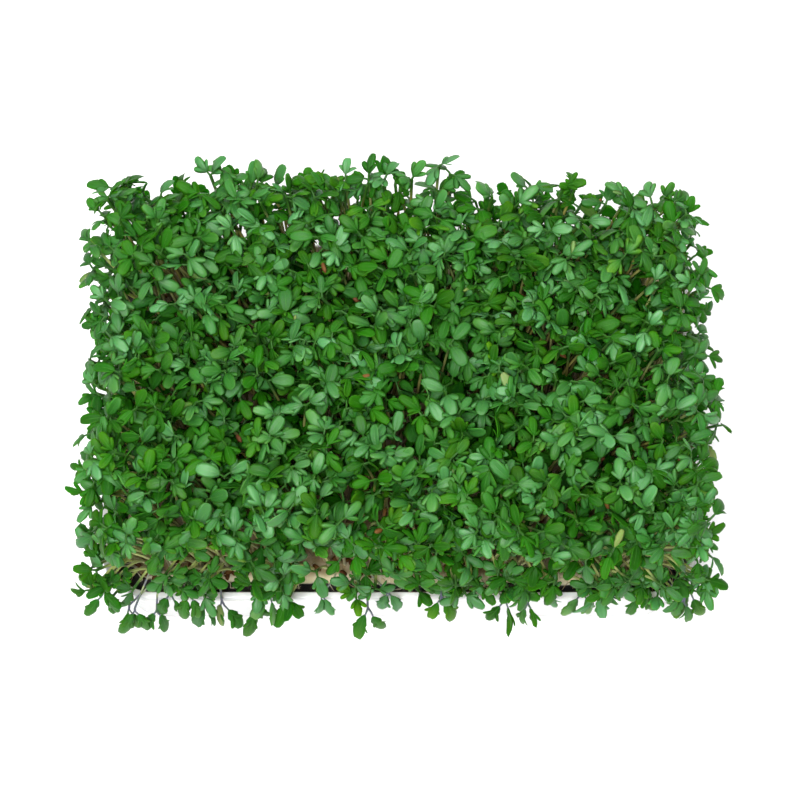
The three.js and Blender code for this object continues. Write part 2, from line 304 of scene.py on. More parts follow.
@dataclass(frozen=True)
class LeafFinish:
    """The bluish green of a seed leaf, its pale midrib and faint veins, its yellower underside, and painted
    shade deep in the canopy.

    Its pale bloom is partly a real waxy tone and partly a painted sheen, laid on leaves in the open. A pair that
    ends in _at is where a soft step starts and ends.
    """

    deep: Colour = (0.007, 0.066, 0.001)
    fresh: Colour = (0.014, 0.118, 0.002)
    # bloom: a pale bluish waxy tone, lightened further as painted sheen
    bloom: Colour = (0.068, 0.262, 0.078)
    sunny: Colour = (0.090, 0.230, 0.003)
    beige: Colour = (0.340, 0.380, 0.130)
    underside: Colour = (0.040, 0.150, 0.003)
    rib: Colour = (0.080, 0.250, 0.042)
    # low: the painted shade colour that leaves deep in the canopy are darkened towards
    low: Colour = (0.005, 0.066, 0.0008)
    rough: Span = (0.38, 0.54)
    rougher_below: float = 0.12
    gloss: Span = (0.02, 0.66)
    fresh_at: Span = (0.45, 1.05)
    bloom_at: Span = (0.15, 0.95)
    least_bloom: float = 0.25
    sunny_at: Span = (0.3, 1.5)
    margin_at: Span = (0.78, 1.0)
    margin: float = 0.2
    midrib_at: Span = (0.02, 0.13)
    midrib_end_at: Span = (0.45, 0.95)
    midrib_below: float = 0.6
    vein_slant: float = 1.1
    vein_waves: float = 26.0
    vein_at: Span = (0.6, 1.0)
    vein_end_at: Span = (0.45, 0.85)
    lines: Span = (0.24, 0.18)
    grooves: Span = (-0.6, -0.35)
    painted_shade_strength: float = 0.9

    def material(self) -> Material:
        """Builds the finish."""
        b = Board("cress_leaf")
        along, across, face = b.split(b.read("blade", "Vector"))
        side = b.math("ABSOLUTE", across)
        cloud = b.noise(160, 3)
        patch = b.noise(45, 2)
        bloom = b.read("bloom")
        depth = b.read("shade")
        midrib = b.times(b.rest(b.ramp(side, *self.midrib_at)), b.rest(b.ramp(along, *self.midrib_end_at)))
        waves = b.math("SINE", b.times(b.less(b.times(side, self.vein_slant), along), self.vein_waves))
        veins = b.times(b.ramp(waves, *self.vein_at), b.rest(b.ramp(side, *self.vein_end_at)))
        freshness = b.ramp(b.plus(b.read("tone"), b.times(cloud, 0.5)), *self.fresh_at)
        body = b.mix(freshness, self.deep, self.fresh)
        # Painted sheen: the bloom colour goes on the outer part of each leaf, and only on leaves in the open
        outer = b.span(b.ramp(b.plus(along, b.times(patch, 0.5)), *self.bloom_at), self.least_bloom, 1.0)
        body = b.mix(b.times(outer, bloom), body, self.bloom)
        body = b.mix(b.times(b.span(cloud, 0.5, 1.0), b.read("blush"), True), body, self.beige)
        sunlit = b.ramp(b.plus(along, b.times(cloud, 0.6)), *self.sunny_at)
        body = b.mix(b.times(sunlit, b.read("warmth"), True), body, self.sunny)
        body = b.mix(b.times(b.ramp(side, *self.margin_at), self.margin), body, self.rib)
        drawn = b.plus(b.times(midrib, self.lines[0]), b.times(veins, self.lines[1]), True)
        # Painted shade: by their shade value, leaves deep in the canopy are darkened towards the low colour
        body = b.mix(b.times(depth, self.painted_shade_strength), b.mix(drawn, body, self.rib), self.low)
        below = b.mix(b.ramp(cloud, 0.3, 0.7), self.fresh, self.underside)
        below = b.mix(b.times(midrib, self.midrib_below), below, self.rib)
        b.set(Base_Color=b.mix(face, below, body))
        b.set(Roughness=b.plus(b.span(cloud, *self.rough), b.times(b.rest(face), self.rougher_below)))
        # Gloss fades with the painted shade, as well as where the bloom is thin
        bloom_gloss_out_of_shade = b.times(b.span(bloom, 0.1, 1.0), b.rest(depth))
        b.set(Specular_IOR_Level=b.span(b.times(bloom_gloss_out_of_shade, face), *self.gloss))
        b.set(Subsurface_Weight=0.25, Subsurface_Radius=(0.35, 1.0, 0.08), Subsurface_Scale=0.0012)
        relief = b.plus(b.times(midrib, self.grooves[0]), b.times(veins, self.grooves[1]))
        b.set(Normal=b.bump(b.noise(2600, 2), 0.35, 0.00005, b.bump(relief, 0.6, 0.00012)))
        return b.material


@dataclass(frozen=True)
class StemFinish:
    """A pale stem: whitish at the mat, yellow green under the leaves, tinged with purple where it hangs, and
    darkened in streaks by painted shade inside the bed.
    """

    foot: Colour = (0.72, 0.69, 0.48)
    middle: Colour = (0.47, 0.55, 0.19)
    neck: Colour = (0.024, 0.105, 0.006)
    blush: Colour = (0.13, 0.12, 0.20)
    ochre: Colour = (0.50, 0.38, 0.08)
    painted_shade: Colour = (0.070, 0.074, 0.008)
    middle_at: Span = (0.15, 0.75)
    neck_at: Span = (0.72, 0.95)
    ochre_share: float = 0.75
    rough: Span = (0.42, 0.65)

    def material(self) -> Material:
        """Builds the finish."""
        b = Board("cress_stem")
        along = b.read("along_stem")
        streak = b.noise(700, 3, stretch=(1, 1, 0.12))
        body = b.mix(b.ramp(b.plus(along, b.times(streak, 0.3)), *self.middle_at), self.foot, self.middle)
        body = b.mix(b.times(b.read("warmth"), self.ochre_share), body, self.ochre)
        # Painted shade: stems inside the bed are darkened in streaks by their shade value
        body = b.mix(b.times(b.read("shade"), b.span(streak, 0.55, 1.0)), body, self.painted_shade)
        body = b.mix(b.ramp(along, *self.neck_at), body, self.neck)
        body = b.mix(b.times(b.ramp(streak, 0.2, 0.7), b.read("blush")), body, self.blush)
        b.set(Base_Color=body, Roughness=b.span(streak, *self.rough), Specular_IOR_Level=0.25)
        b.set(Subsurface_Weight=0.2, Subsurface_Radius=(0.8, 1.0, 0.4), Subsurface_Scale=0.001)
        b.set(Normal=b.bump(streak, 0.4, 0.0001))
        return b.material


@dataclass(frozen=True)
class HuskFinish:
    """The split, reddish brown skin of a cress seed."""

    dark: Colour = (0.080, 0.026, 0.008)
    light: Colour = (0.160, 0.072, 0.016)
    worn: Colour = (0.200, 0.120, 0.040)
    rough: Span = (0.5, 0.75)

    def material(self) -> Material:
        """Builds the finish."""
        b = Board("seed_husk")
        grain = b.noise(1500, 3)
        lightness = b.plus(b.times(b.read("tone"), 0.7), b.times(grain, 0.5))
        body = b.mix(b.ramp(lightness, 0.2, 0.95), self.dark, self.light)
        body = b.mix(b.times(b.ramp(grain, 0.55, 0.75), 0.5), body, self.worn)
        b.set(Base_Color=body, Roughness=b.span(grain, *self.rough), Specular_IOR_Level=0.2)
        b.set(Normal=b.bump(grain, 0.5, 0.00012))
        return b.material


@dataclass(frozen=True)
class FleeceFinish:
    """Pale felted plant fibre, browned inside its pale border partly by roots and husks and partly by painted
    shade under the canopy, and damp at its foot.
    """

    pale: Colour = (0.88, 0.83, 0.63)
    straw: Colour = (0.74, 0.65, 0.40)
    damp: Colour = (0.30, 0.20, 0.08)
    rooted_and_shaded: Colour = (0.16, 0.098, 0.018)
    rooted_share: Span = (0.55, 0.92)
    half_x: float = 71.3 * MM
    half_y: float = 45.2 * MM
    border: Span = (-3.4 * MM, -1.2 * MM)
    foot: Span = (23 * MM, 25 * MM)
    rough: Span = (0.75, 0.95)

    def material(self) -> Material:
        """Builds the finish."""
        b = Board("mat_fleece")
        felt = b.math("MAXIMUM", b.noise(900, 4, stretch=(0.15, 1, 1)), b.noise(900, 4, stretch=(1, 0.15, 1)))
        stain = b.noise(60, 3)
        x, y, height = b.split(b.place())
        beside = b.less(b.math("ABSOLUTE", x), self.half_x)
        before = b.less(b.math("ABSOLUTE", y), self.half_y)
        border = b.ramp(b.math("MAXIMUM", beside, before), *self.border)
        # Inside the pale border the mat is browned: partly roots and husks, partly painted shade under the
        # canopy
        inside = b.times(b.rest(border), b.span(b.ramp(stain, 0.35, 0.60), *self.rooted_share))
        body = b.mix(b.ramp(felt, 0.45, 0.72), self.straw, self.pale)
        body = b.mix(inside, body, self.rooted_and_shaded)
        body = b.mix(b.times(b.ramp(stain, 0.50, 0.72), 0.5), body, self.damp)
        body = b.mix(b.times(b.rest(b.ramp(height, *self.foot)), 0.4), body, self.damp)
        b.set(Base_Color=body, Roughness=b.span(felt, *self.rough), Sheen_Weight=0.2, Sheen_Roughness=0.6)
        b.set(Normal=b.bump(felt, 0.8, 0.0005))
        return b.material


@dataclass(frozen=True)
class FibreFinish:
    """Loose cream fibres and the finest roots."""

    pale: Colour = (0.66, 0.60, 0.44)
    straw: Colour = (0.42, 0.31, 0.16)
    rough: Span = (0.55, 0.85)

    def material(self) -> Material:
        """Builds the finish."""
        b = Board("mat_fibre")
        grain = b.noise(1200, 2)
        body = b.mix(b.ramp(b.plus(b.read("tone"), b.times(grain, 0.4)), 0.3, 1.1), self.straw, self.pale)
        b.set(Base_Color=body, Roughness=b.span(grain, *self.rough))
        b.set(Normal=b.bump(grain, 0.4, 0.0001))
        return b.material


@dataclass(frozen=True)
class CompostFinish:
    """Damp compost with brown crumbs and a wet shine here and there, made nearly black as painted shade for the
    deep gap between the mat and the walls.
    """

    name: str = "damp_compost"
    # dark: nearly black, partly the compost's own colour and partly painted shade for the gap round the mat
    dark: Colour = (0.006, 0.006, 0.007)
    brown: Colour = (0.045, 0.026, 0.014)
    rough: Span = (0.3, 0.9)

    def material(self) -> Material:
        """Builds the finish."""
        b = Board(self.name)
        crumb = b.noise(420, 5)
        patch = b.noise(90, 2)
        body = b.mix(b.times(b.ramp(crumb, 0.48, 0.7), b.span(patch, 0.3, 1.0)), self.dark, self.brown)
        b.set(Base_Color=body, Roughness=b.span(b.ramp(patch, 0.4, 0.62), *self.rough))
        b.set(Normal=b.bump(crumb, 0.9, 0.0012))
        return b.material


@dataclass(frozen=True)
class PlasticFinish:
    """Thin glossy white plastic, faintly dimpled, a little duller where it is handled."""

    white: Colour = (0.82, 0.825, 0.82)
    shade: Colour = (0.72, 0.725, 0.725)
    rough: Span = (0.16, 0.30)
    scuffed: float = 0.12

    def material(self) -> Material:
        """Builds the finish."""
        b = Board("white_plastic")
        cloud = b.noise(22, 3)
        scuff = b.noise(900, 3, stretch=(0.06, 1, 1))
        body = b.mix(b.times(b.ramp(cloud, 0.4, 0.75), 0.4), self.white, self.shade)
        dull = b.times(b.ramp(scuff, 0.62, 0.75), self.scuffed)
        b.set(Base_Color=body, Roughness=b.plus(b.span(cloud, *self.rough), dull))
        b.set(Specular_IOR_Level=0.5, Subsurface_Weight=0.05, Subsurface_Scale=0.002)
        b.set(Normal=b.bump(b.noise(700, 1), 0.08, 0.0001))
        return b.material


@dataclass(frozen=True)
class FloorFinish:
    """Plain matt white."""

    white: Colour = (0.93, 0.93, 0.93)
    whiter: Colour = (0.94, 0.94, 0.94)

    def material(self) -> Material:
        """Builds the finish."""
        b = Board("studio_floor")
        b.set(Base_Color=b.mix(b.noise(3, 1), self.white, self.whiter), Roughness=0.9, Specular_IOR_Level=0.1)
        return b.material


class Tree:
    """A Geometry Nodes tree, with its sizes and finishes as named inputs."""

    def __init__(self, name: str) -> None:
        """Starts a tree with a geometry input and output."""
        self.group = bpy.data.node_groups.new(name, "GeometryNodeTree")
        for way in ("INPUT", "OUTPUT"):
            self.group.interface.new_socket("Geometry", in_out=way, socket_type="NodeSocketGeometry")
        self.entry = self.group.nodes.new("NodeGroupInput")
        self.exit = self.group.nodes.new("NodeGroupOutput")

    def given(self, name: str, kind: str) -> Socket:
        """Adds a named input.

        Args:
            name: what it is called.
            kind: its kind of socket, such as Int.

        Returns:
            The output that carries it inside the tree.
        """
        self.group.interface.new_socket(name, in_out="INPUT", socket_type=f"NodeSocket{kind}")
        return self.entry.outputs[name]

    def node(self, kind: str, *values: object, settings: dict[str, object] | None = None,
             **inputs: object) -> bpy.types.NodeOutputs:
        """Adds a node.

        Args:
            kind: its type.
            values: values or outputs for its sockets, in their order.
            settings: its own options.
            inputs: values or outputs for its sockets, named with _ for each space.

        Returns:
            Its outputs.
        """
        made = self.group.nodes.new(kind)
        for name, value in (settings or {}).items():
            setattr(made, name, value)
        sockets = [s for s in made.inputs if s.enabled]
        named = [next(s for s in sockets if s.name == name.replace("_", " ")) for name in inputs]
        for socket, value in [*zip(sockets, values), *zip(named, inputs.values())]:
            if isinstance(value, Socket):
                self.group.links.new(value, socket)
            else:
                socket.default_value = value
        return made.outputs

    def read(self, name: str, kind: str = "FLOAT") -> Socket:
        """The output that reads a named attribute."""
        made = self.node("GeometryNodeInputNamedAttribute", settings={"data_type": kind}, Name=name)
        return next(s for s in made if s.enabled and s.name == "Attribute")

    def join(self, *parts: Socket) -> Socket:
        """Puts several geometries together."""
        made = self.group.nodes.new("GeometryNodeJoinGeometry")
        for part in parts:
            self.group.links.new(part, made.inputs[0])
        return made.outputs[0]

    def tubes(self, lines: Socket, sides: Socket) -> Socket:
        """Turns lines into closed tubes, as thick as their points say.

        Args:
            lines: the lines.
            sides: how many sides a tube has.

        Returns:
            The output that carries the tubes.
        """
        curves = self.node("GeometryNodeMeshToCurve", Mesh=lines)[0]
        circle = self.node("GeometryNodeCurvePrimitiveCircle", Resolution=sides, Radius=1.0)[0]
        return self.node("GeometryNodeCurveToMesh", Curve=curves, Profile_Curve=circle,
                         Scale=self.read("thickness"), Fill_Caps=True)[0]

    def set_out(self, points: Socket, shapes: Socket) -> Socket:
        """Sets a shape on each point, of the kind, turn and size that the point says.

        Args:
            points: the points.
            shapes: the collection of shapes.

        Returns:
            The output that carries the shapes in their places.
        """
        choice = self.node("GeometryNodeCollectionInfo", Collection=shapes,
                           Separate_Children=True, Reset_Children=True)[0]
        rotation = self.node("FunctionNodeEulerToRotation", Euler=self.read("turn", "FLOAT_VECTOR"))[0]
        return self.node("GeometryNodeInstanceOnPoints", Points=points, Instance=choice, Pick_Instance=True,
                         Instance_Index=self.read("kind", "INT"), Rotation=rotation,
                         Scale=self.read("size", "FLOAT_VECTOR"))[0]

    def close(self, geometry: Socket) -> bpy.types.NodeTree:
        """Wires the result to the tree's output and returns the tree."""
        self.group.links.new(geometry, self.exit.inputs[0])
        return self.group


def grown(name: str, skeleton: bpy.types.Mesh, tree: bpy.types.NodeTree,
          **inputs: object) -> Piece:
    """Grows a piece from its skeleton.

    Args:
        name: the piece's name.
        skeleton: the lines and points that the tree works on.
        tree: the tree.
        inputs: values for the tree's named inputs, named with _ for each space.

    Returns:
        The piece, a plain mesh at the origin.
    """
    holder = placed(f"{name}_skeleton", skeleton)
    modifier = holder.modifiers.new("grow", "NODES")
    modifier.node_group = tree
    named = {s.name: s.identifier for s in tree.interface.items_tree if s.in_out == "INPUT"}
    for key, value in inputs.items():
        modifier[named[key.replace("_", " ")]] = value
    graph = bpy.context.evaluated_depsgraph_get()
    grown_holder = holder.evaluated_get(graph)
    mesh = bpy.data.meshes.new_from_object(grown_holder, preserve_all_data_layers=True, depsgraph=graph)
    mesh.name = name
    bpy.data.objects.remove(holder)
    for spare in [a.name for a in mesh.attributes if a.name in SPARE_NAMES]:
        mesh.attributes.remove(mesh.attributes[spare])
    return placed(name, mesh)


def placed(name: str, mesh: bpy.types.Mesh) -> Piece:
    """Puts a finished mesh in the scene as an object at the origin.

    Args:
        name: the object's name.
        mesh: its mesh, with its place in it.

    Returns:
        The object.
    """
    piece = bpy.data.objects.new(name, mesh)
    bpy.context.scene.collection.objects.link(piece)
    return piece


def declared(piece: Piece, slot: str, *nodes: str) -> Piece:
    """Says what a finished piece rides on and which nodes it stands for.

    Args:
        piece: the piece.
        slot: not used.
        nodes: the nodes that it stands for.

    Returns:
        The piece.
    """
    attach(piece, "root")
    if nodes:
        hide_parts(*nodes)
    log.info("%s: %d triangles", piece.name, sum(len(p.vertices) - 2 for p in piece.data.polygons))
    return piece


SKELETON_VALUES = {
    "is_leaflet": "BOOLEAN",
    "kind": "INT",
    **dict.fromkeys(("turn", "size", "bend", "lift"), "FLOAT_VECTOR"),
    **dict.fromkeys(("thickness", "along_stem", "tone", "warmth", "bloom", "blush", "shade"), "FLOAT"),
}
SPARE_NAMES = {"kind", "turn", "size", "bend", "lift", "thickness", "is_leaflet", "radius"}
FILLS = {
    "FLOAT_VECTOR": ("vector", np.float32),
    "FLOAT": ("value", np.float32),
    "INT": ("value", np.int32),
    "BOOLEAN": ("value", bool),
}


class Skeleton:
    """Lines that become stems, stalks and fibres, and loose points that become leaflets, husks and crumbs."""

    def __init__(self) -> None:
        """Starts an empty skeleton."""
        self.points: list[Vector] = []
        self.edges: list[tuple[int, int]] = []
        self.values: dict[str, list] = {name: [] for name in SKELETON_VALUES}

    def _add(self, at: Vector, **values: object) -> None:
        """Adds a point with its values, and 0 for the rest."""
        self.points.append(at)
        for name, kind in SKELETON_VALUES.items():
            blank = (0.0, 0.0, 0.0) if kind == "FLOAT_VECTOR" else 0
            self.values[name].append(values.get(name, blank))

    def line(self, points: list[Vector], thickness: list[float], along: list[float], **values: float) -> None:
        """Adds a line.

        Args:
            points: the points along it.
            thickness: its radius at each point.
            along: how far up the plant each point is.
            values: what is the same all along it.
        """
        first = len(self.points)
        for at, radius, height in zip(points, thickness, along, strict=True):
            self._add(at, thickness=radius, along_stem=height, **values)
        self.edges += [(i, i + 1) for i in range(first, len(self.points) - 1)]

    def spot(self, at: Vector, along: Vector, normal: Vector, size: Vector, kind: int,
             **values: object) -> None:
        """Adds a loose point, where a shape is set.

        Args:
            at: where the shape's own origin goes.
            along: where its x axis points.
            normal: roughly where its z axis points.
            size: its scale along its own axes.
            kind: which of the shapes it is.
            values: what else the tree or the finish reads.
        """
        turn = Matrix(squared(along, normal)).transposed().to_euler()
        self._add(at, is_leaflet=True, kind=kind, turn=tuple(turn), size=tuple(size), **values)

    def mesh(self, name: str) -> bpy.types.Mesh:
        """The skeleton as a mesh of points and edges."""
        made = bpy.data.meshes.new(name)
        made.from_pydata([tuple(p) for p in self.points], self.edges, [])
        for value, kind in SKELETON_VALUES.items():
            channel, number = FILLS[kind]
            data = made.attributes.new(value, kind, "POINT").data
            data.foreach_set(channel, np.array(self.values[value], number).ravel())
        return made


Corners = list[bmesh.types.BMVert]


def net(bm: bmesh.types.BMesh, rows: list[Corners]) -> None:
    """Fills the cells between neighbouring rows of corners.

    Args:
        bm: the mesh.
        rows: the rows, all of one length.
    """
    for near, far in zip(rows, rows[1:]):
        for k in range(len(near) - 1):
            bm.faces.new((near[k], near[k + 1], far[k + 1], far[k]))


def girdle(bm: bmesh.types.BMesh, near: Corners, far: Corners) -> None:
    """Fills the band between two rings of corners.

    Args:
        bm: the mesh.
        near: the first ring.
        far: the second, with as many corners.
    """
    for k in range(len(near)):
        after = (k + 1) % len(near)
        bm.faces.new((near[k], near[after], far[after], far[k]))


def shell(bm: bmesh.types.BMesh, name: str, smooth: bool = True) -> bpy.types.Mesh:
    """Turns all faces outward and hands the mesh over.

    Args:
        bm: the mesh, which is used up.
        name: its name.
        smooth: whether it is shaded as one smooth face.

    Returns:
        The finished mesh.
    """
    bmesh.ops.recalc_face_normals(bm, faces=bm.faces)
    for face in bm.faces:
        face.smooth = smooth
    made = bpy.data.meshes.new(name)
    bm.to_mesh(made)
    bm.free()
    return made


WIDE_LANES = (-1.0, -0.55, 0.0, 0.55, 1.0)
SIDE_LANES = (-1.0, 0.0, 1.0)
SIDE_ROWS = (0.12, 0.45, 0.78, 0.96)
TOOTHED_ROWS = (0.12, 0.31, 0.45, 0.59, 0.78, 0.955)


@dataclass(frozen=True)
class LeafletShape:
    """One lobe of a seed leaf, one unit long: a thin lens with a rounded tip and a narrow foot."""

    name: str
    width: float
    cup: float = 0.10
    fold: float = 0.0
    hook: float = 0.0
    fall: float = 0.0
    arch: float = 0.075
    thickness: float = 0.07
    thin_edge: float = 0.25
    foot_power: float = 0.56
    tip_power: float = 0.36
    rows: tuple[float, ...] = (0.10, 0.33, 0.60, 0.84, 0.97)
    lanes: tuple[float, ...] = WIDE_LANES
    groove: float = 0.008
    teeth: float = 0.0
    first_tooth: float = 0.31
    tooth_gap: float = 0.28

    def half_width(self, t: float) -> float:
        """Half the lobe's width at a share t of its length."""
        belly = self.foot_power / (self.foot_power + self.tip_power)
        widest = belly**self.foot_power * (1 - belly) ** self.tip_power
        tooth = 1 + self.teeth * (1 - t) * math.cos(TURN * (t - self.first_tooth) / self.tooth_gap)
        return self.width / 2 * t**self.foot_power * (1 - t) ** self.tip_power / widest * tooth

    def middle(self, t: float, lane: float) -> Vector:
        """The point half way through the lobe, at a share t of its length and a lane across it."""
        half = self.half_width(t)
        raised = (2 * self.cup * lane**2 + self.fold * abs(lane)) * half
        arched = self.arch * t * (1 - t) - self.fall * t**3
        return Vector((t, lane * half + self.hook * t**2, raised + arched))

    def mesh(self) -> bpy.types.Mesh:
        """Builds the lobe with its blade attribute: share of the length, lane, and 1 on the upper face."""
        bm = bmesh.new()
        blade = bm.verts.layers.float_vector.new("blade")

        def vertex(at: Vector, t: float, lane: float, face: float) -> bmesh.types.BMVert:
            """Adds a corner with its blade values."""
            made = bm.verts.new(at)
            made[blade] = Vector((t, lane, face))
            return made

        foot = vertex(self.middle(0, 0), 0, 0, 0.5)
        tip = vertex(self.middle(1, 0), 1, 0, 0.5)
        upper, lower = [], []
        for t in self.rows:
            above, below = [], []
            bulge = math.sqrt(self.thin_edge + (1 - self.thin_edge) * 4 * t * (1 - t))
            for lane in self.lanes:
                centre = self.middle(t, lane)
                if abs(lane) == 1:
                    rim = vertex(centre, t, lane, 0.6)
                    above.append(rim)
                    below.append(rim)
                    continue
                swell = self.thickness / 2 * (1 - lane**2) * bulge
                rib = self.groove * (1 - t) if lane == 0 else 0.0
                above.append(vertex(centre + UP * (swell - rib), t, lane, 1))
                below.append(vertex(centre - UP * (swell + rib), t, lane, 0))
            upper.append(above)
            lower.append(below)
        strips = range(len(self.lanes) - 1)
        for sheet, step in ((upper, -1), (lower, 1)):
            for near, far in zip(sheet, sheet[1:]):
                for k in strips:
                    bm.faces.new([near[k], far[k], far[k + 1], near[k + 1]][::step])
            for k in strips:
                bm.faces.new([foot, sheet[0][k], sheet[0][k + 1]][::step])
                bm.faces.new([tip, sheet[-1][k + 1], sheet[-1][k]][::step])
        return shell(bm, self.name)


BROAD = {"cup": -0.10, "fall": 0.12}
ARCHED = {"cup": -0.15, "fall": 0.26}
FOLDED = {"cup": 0.03, "fold": 0.30}
SIDE = {"rows": SIDE_ROWS, "lanes": SIDE_LANES}
LEAFLETS = (
    LeafletShape("leaflet_0_broad", 0.54, **BROAD),
    LeafletShape("leaflet_1_arched", 0.52, **ARCHED),
    LeafletShape("leaflet_2_folded", 0.52, **FOLDED, fall=0.08),
    LeafletShape("leaflet_3_round", 0.56, cup=0.08, fall=0.04),
    LeafletShape("leaflet_4_side_left", 0.46, cup=-0.08, fall=0.14, hook=-0.09, **SIDE),
    LeafletShape("leaflet_5_side_right", 0.46, cup=-0.08, fall=0.14, hook=0.09, **SIDE),
    LeafletShape("leaflet_6_side_narrow", 0.42, cup=0.02, fold=0.22, fall=0.12, **SIDE),
    LeafletShape("leaflet_7_toothed", 0.54, **BROAD, rows=TOOTHED_ROWS, teeth=0.22),
    LeafletShape("leaflet_8_toothed_arched", 0.52, **ARCHED, rows=TOOTHED_ROWS, teeth=0.18),
    LeafletShape("leaflet_9_toothed_folded", 0.52, **FOLDED, fall=0.10, rows=TOOTHED_ROWS, teeth=0.18),
)
CENTRE_KINDS = (0, 1, 2, 3)
TOOTHED_KINDS = (7, 7, 8, 9)
SIDE_KINDS = {-1: (4, 6), 1: (5, 6)}


def shelf(name: str, shapes: list[bpy.types.Mesh]) -> bpy.types.Collection:
    """Keeps the shapes that a tree sets on its points, outside the scene.

    Args:
        name: the collection's name.
        shapes: the shapes, in the order of their kinds.

    Returns:
        The collection.
    """
    made = bpy.data.collections.new(name)
    for shape in shapes:
        made.objects.link(bpy.data.objects.new(shape.name, shape))
    return made


def plant_tree() -> bpy.types.NodeTree:
    """Builds the tree that turns a skeleton's lines into stems and its loose points into leaflets.

    Returns:
        The tree, with the inputs Sides, Leaflets, Waviness, Stem finish and Leaf finish.
    """
    t = Tree("cress_plants")
    sides = t.given("Sides", "Int")
    leaflets = t.given("Leaflets", "Collection")
    waviness = t.given("Waviness", "Float")
    stem_finish = t.given("Stem finish", "Material")
    leaf_finish = t.given("Leaf finish", "Material")
    is_leaflet = t.read("is_leaflet", "BOOLEAN")
    parts = t.node("GeometryNodeSeparateGeometry", settings={"domain": "POINT"},
                   Geometry=t.entry.outputs["Geometry"], Selection=is_leaflet)
    plants = t.join(t.tubes(parts["Inverted"], sides), t.set_out(parts["Selection"], leaflets))
    whole = t.node("GeometryNodeRealizeInstances", Geometry=plants)[0]
    along = t.node("ShaderNodeSeparateXYZ", Vector=t.read("blade", "FLOAT_VECTOR"))[0]
    sagging = t.node("ShaderNodeMath", along, 2.0, settings={"operation": "POWER"})[0]
    bent = t.node("ShaderNodeVectorMath", t.read("bend", "FLOAT_VECTOR"), sagging,
                  settings={"operation": "SCALE"})[0]
    cloud = t.node("ShaderNodeTexNoise", Scale=260.0, Detail=1.0)[0]
    wave = t.node("ShaderNodeMapRange", Value=cloud, To_Min=-1.0, To_Max=1.0)[0]
    wave = t.node("ShaderNodeMath", wave, waviness, settings={"operation": "MULTIPLY"})[0]
    waved = t.node("ShaderNodeVectorMath", t.read("lift", "FLOAT_VECTOR"), wave,
                   settings={"operation": "SCALE"})[0]
    offset = t.node("ShaderNodeVectorMath", bent, waved, settings={"operation": "ADD"})[0]
    shaped = t.node("GeometryNodeSetPosition", Geometry=whole, Offset=offset)[0]
    smooth = t.node("GeometryNodeSetShadeSmooth", Geometry=shaped)[0]
    stems = t.node("GeometryNodeSetMaterial", Geometry=smooth, Material=stem_finish)[0]
    return t.close(t.node("GeometryNodeSetMaterial", Geometry=stems, Selection=is_leaflet,
                          Material=leaf_finish)[0])


class Habit(Enum):
    """How a seedling holds its leaves."""

    UPRIGHT = "upright"
    HANGING = "hanging"


@dataclass(frozen=True)
class Hold:
    """What sets a habit apart: its colours, how thin its stems are, and how its lobes are laid.

    The pairs stem_warmth and breadth are the value at the edge of the bed and what is added well inside it.
    """

    blush: Span
    sunny_chance: float
    stem_warmth: Span
    stem_girth: float
    stalk_girth: float
    stalk_length: float
    centre_length: float
    opening: float
    side_ahead: float
    breadth: Span


HOLDS = {
    Habit.UPRIGHT: Hold(blush=(0, 0.1), sunny_chance=0.03, stem_warmth=(0.25, 0.75), stem_girth=1.0,
                        stalk_girth=1.0, stalk_length=1.0, centre_length=1.0, opening=0.95, side_ahead=0.06,
                        breadth=(0.88, 0.12)),
    Habit.HANGING: Hold(blush=(0.7, 1.0), sunny_chance=0.3, stem_warmth=(0.15, 0.0), stem_girth=0.7,
                        stalk_girth=0.85, stalk_length=1.8, centre_length=1.3, opening=0.78, side_ahead=0.24,
                        breadth=(0.78, 0.0)),
}


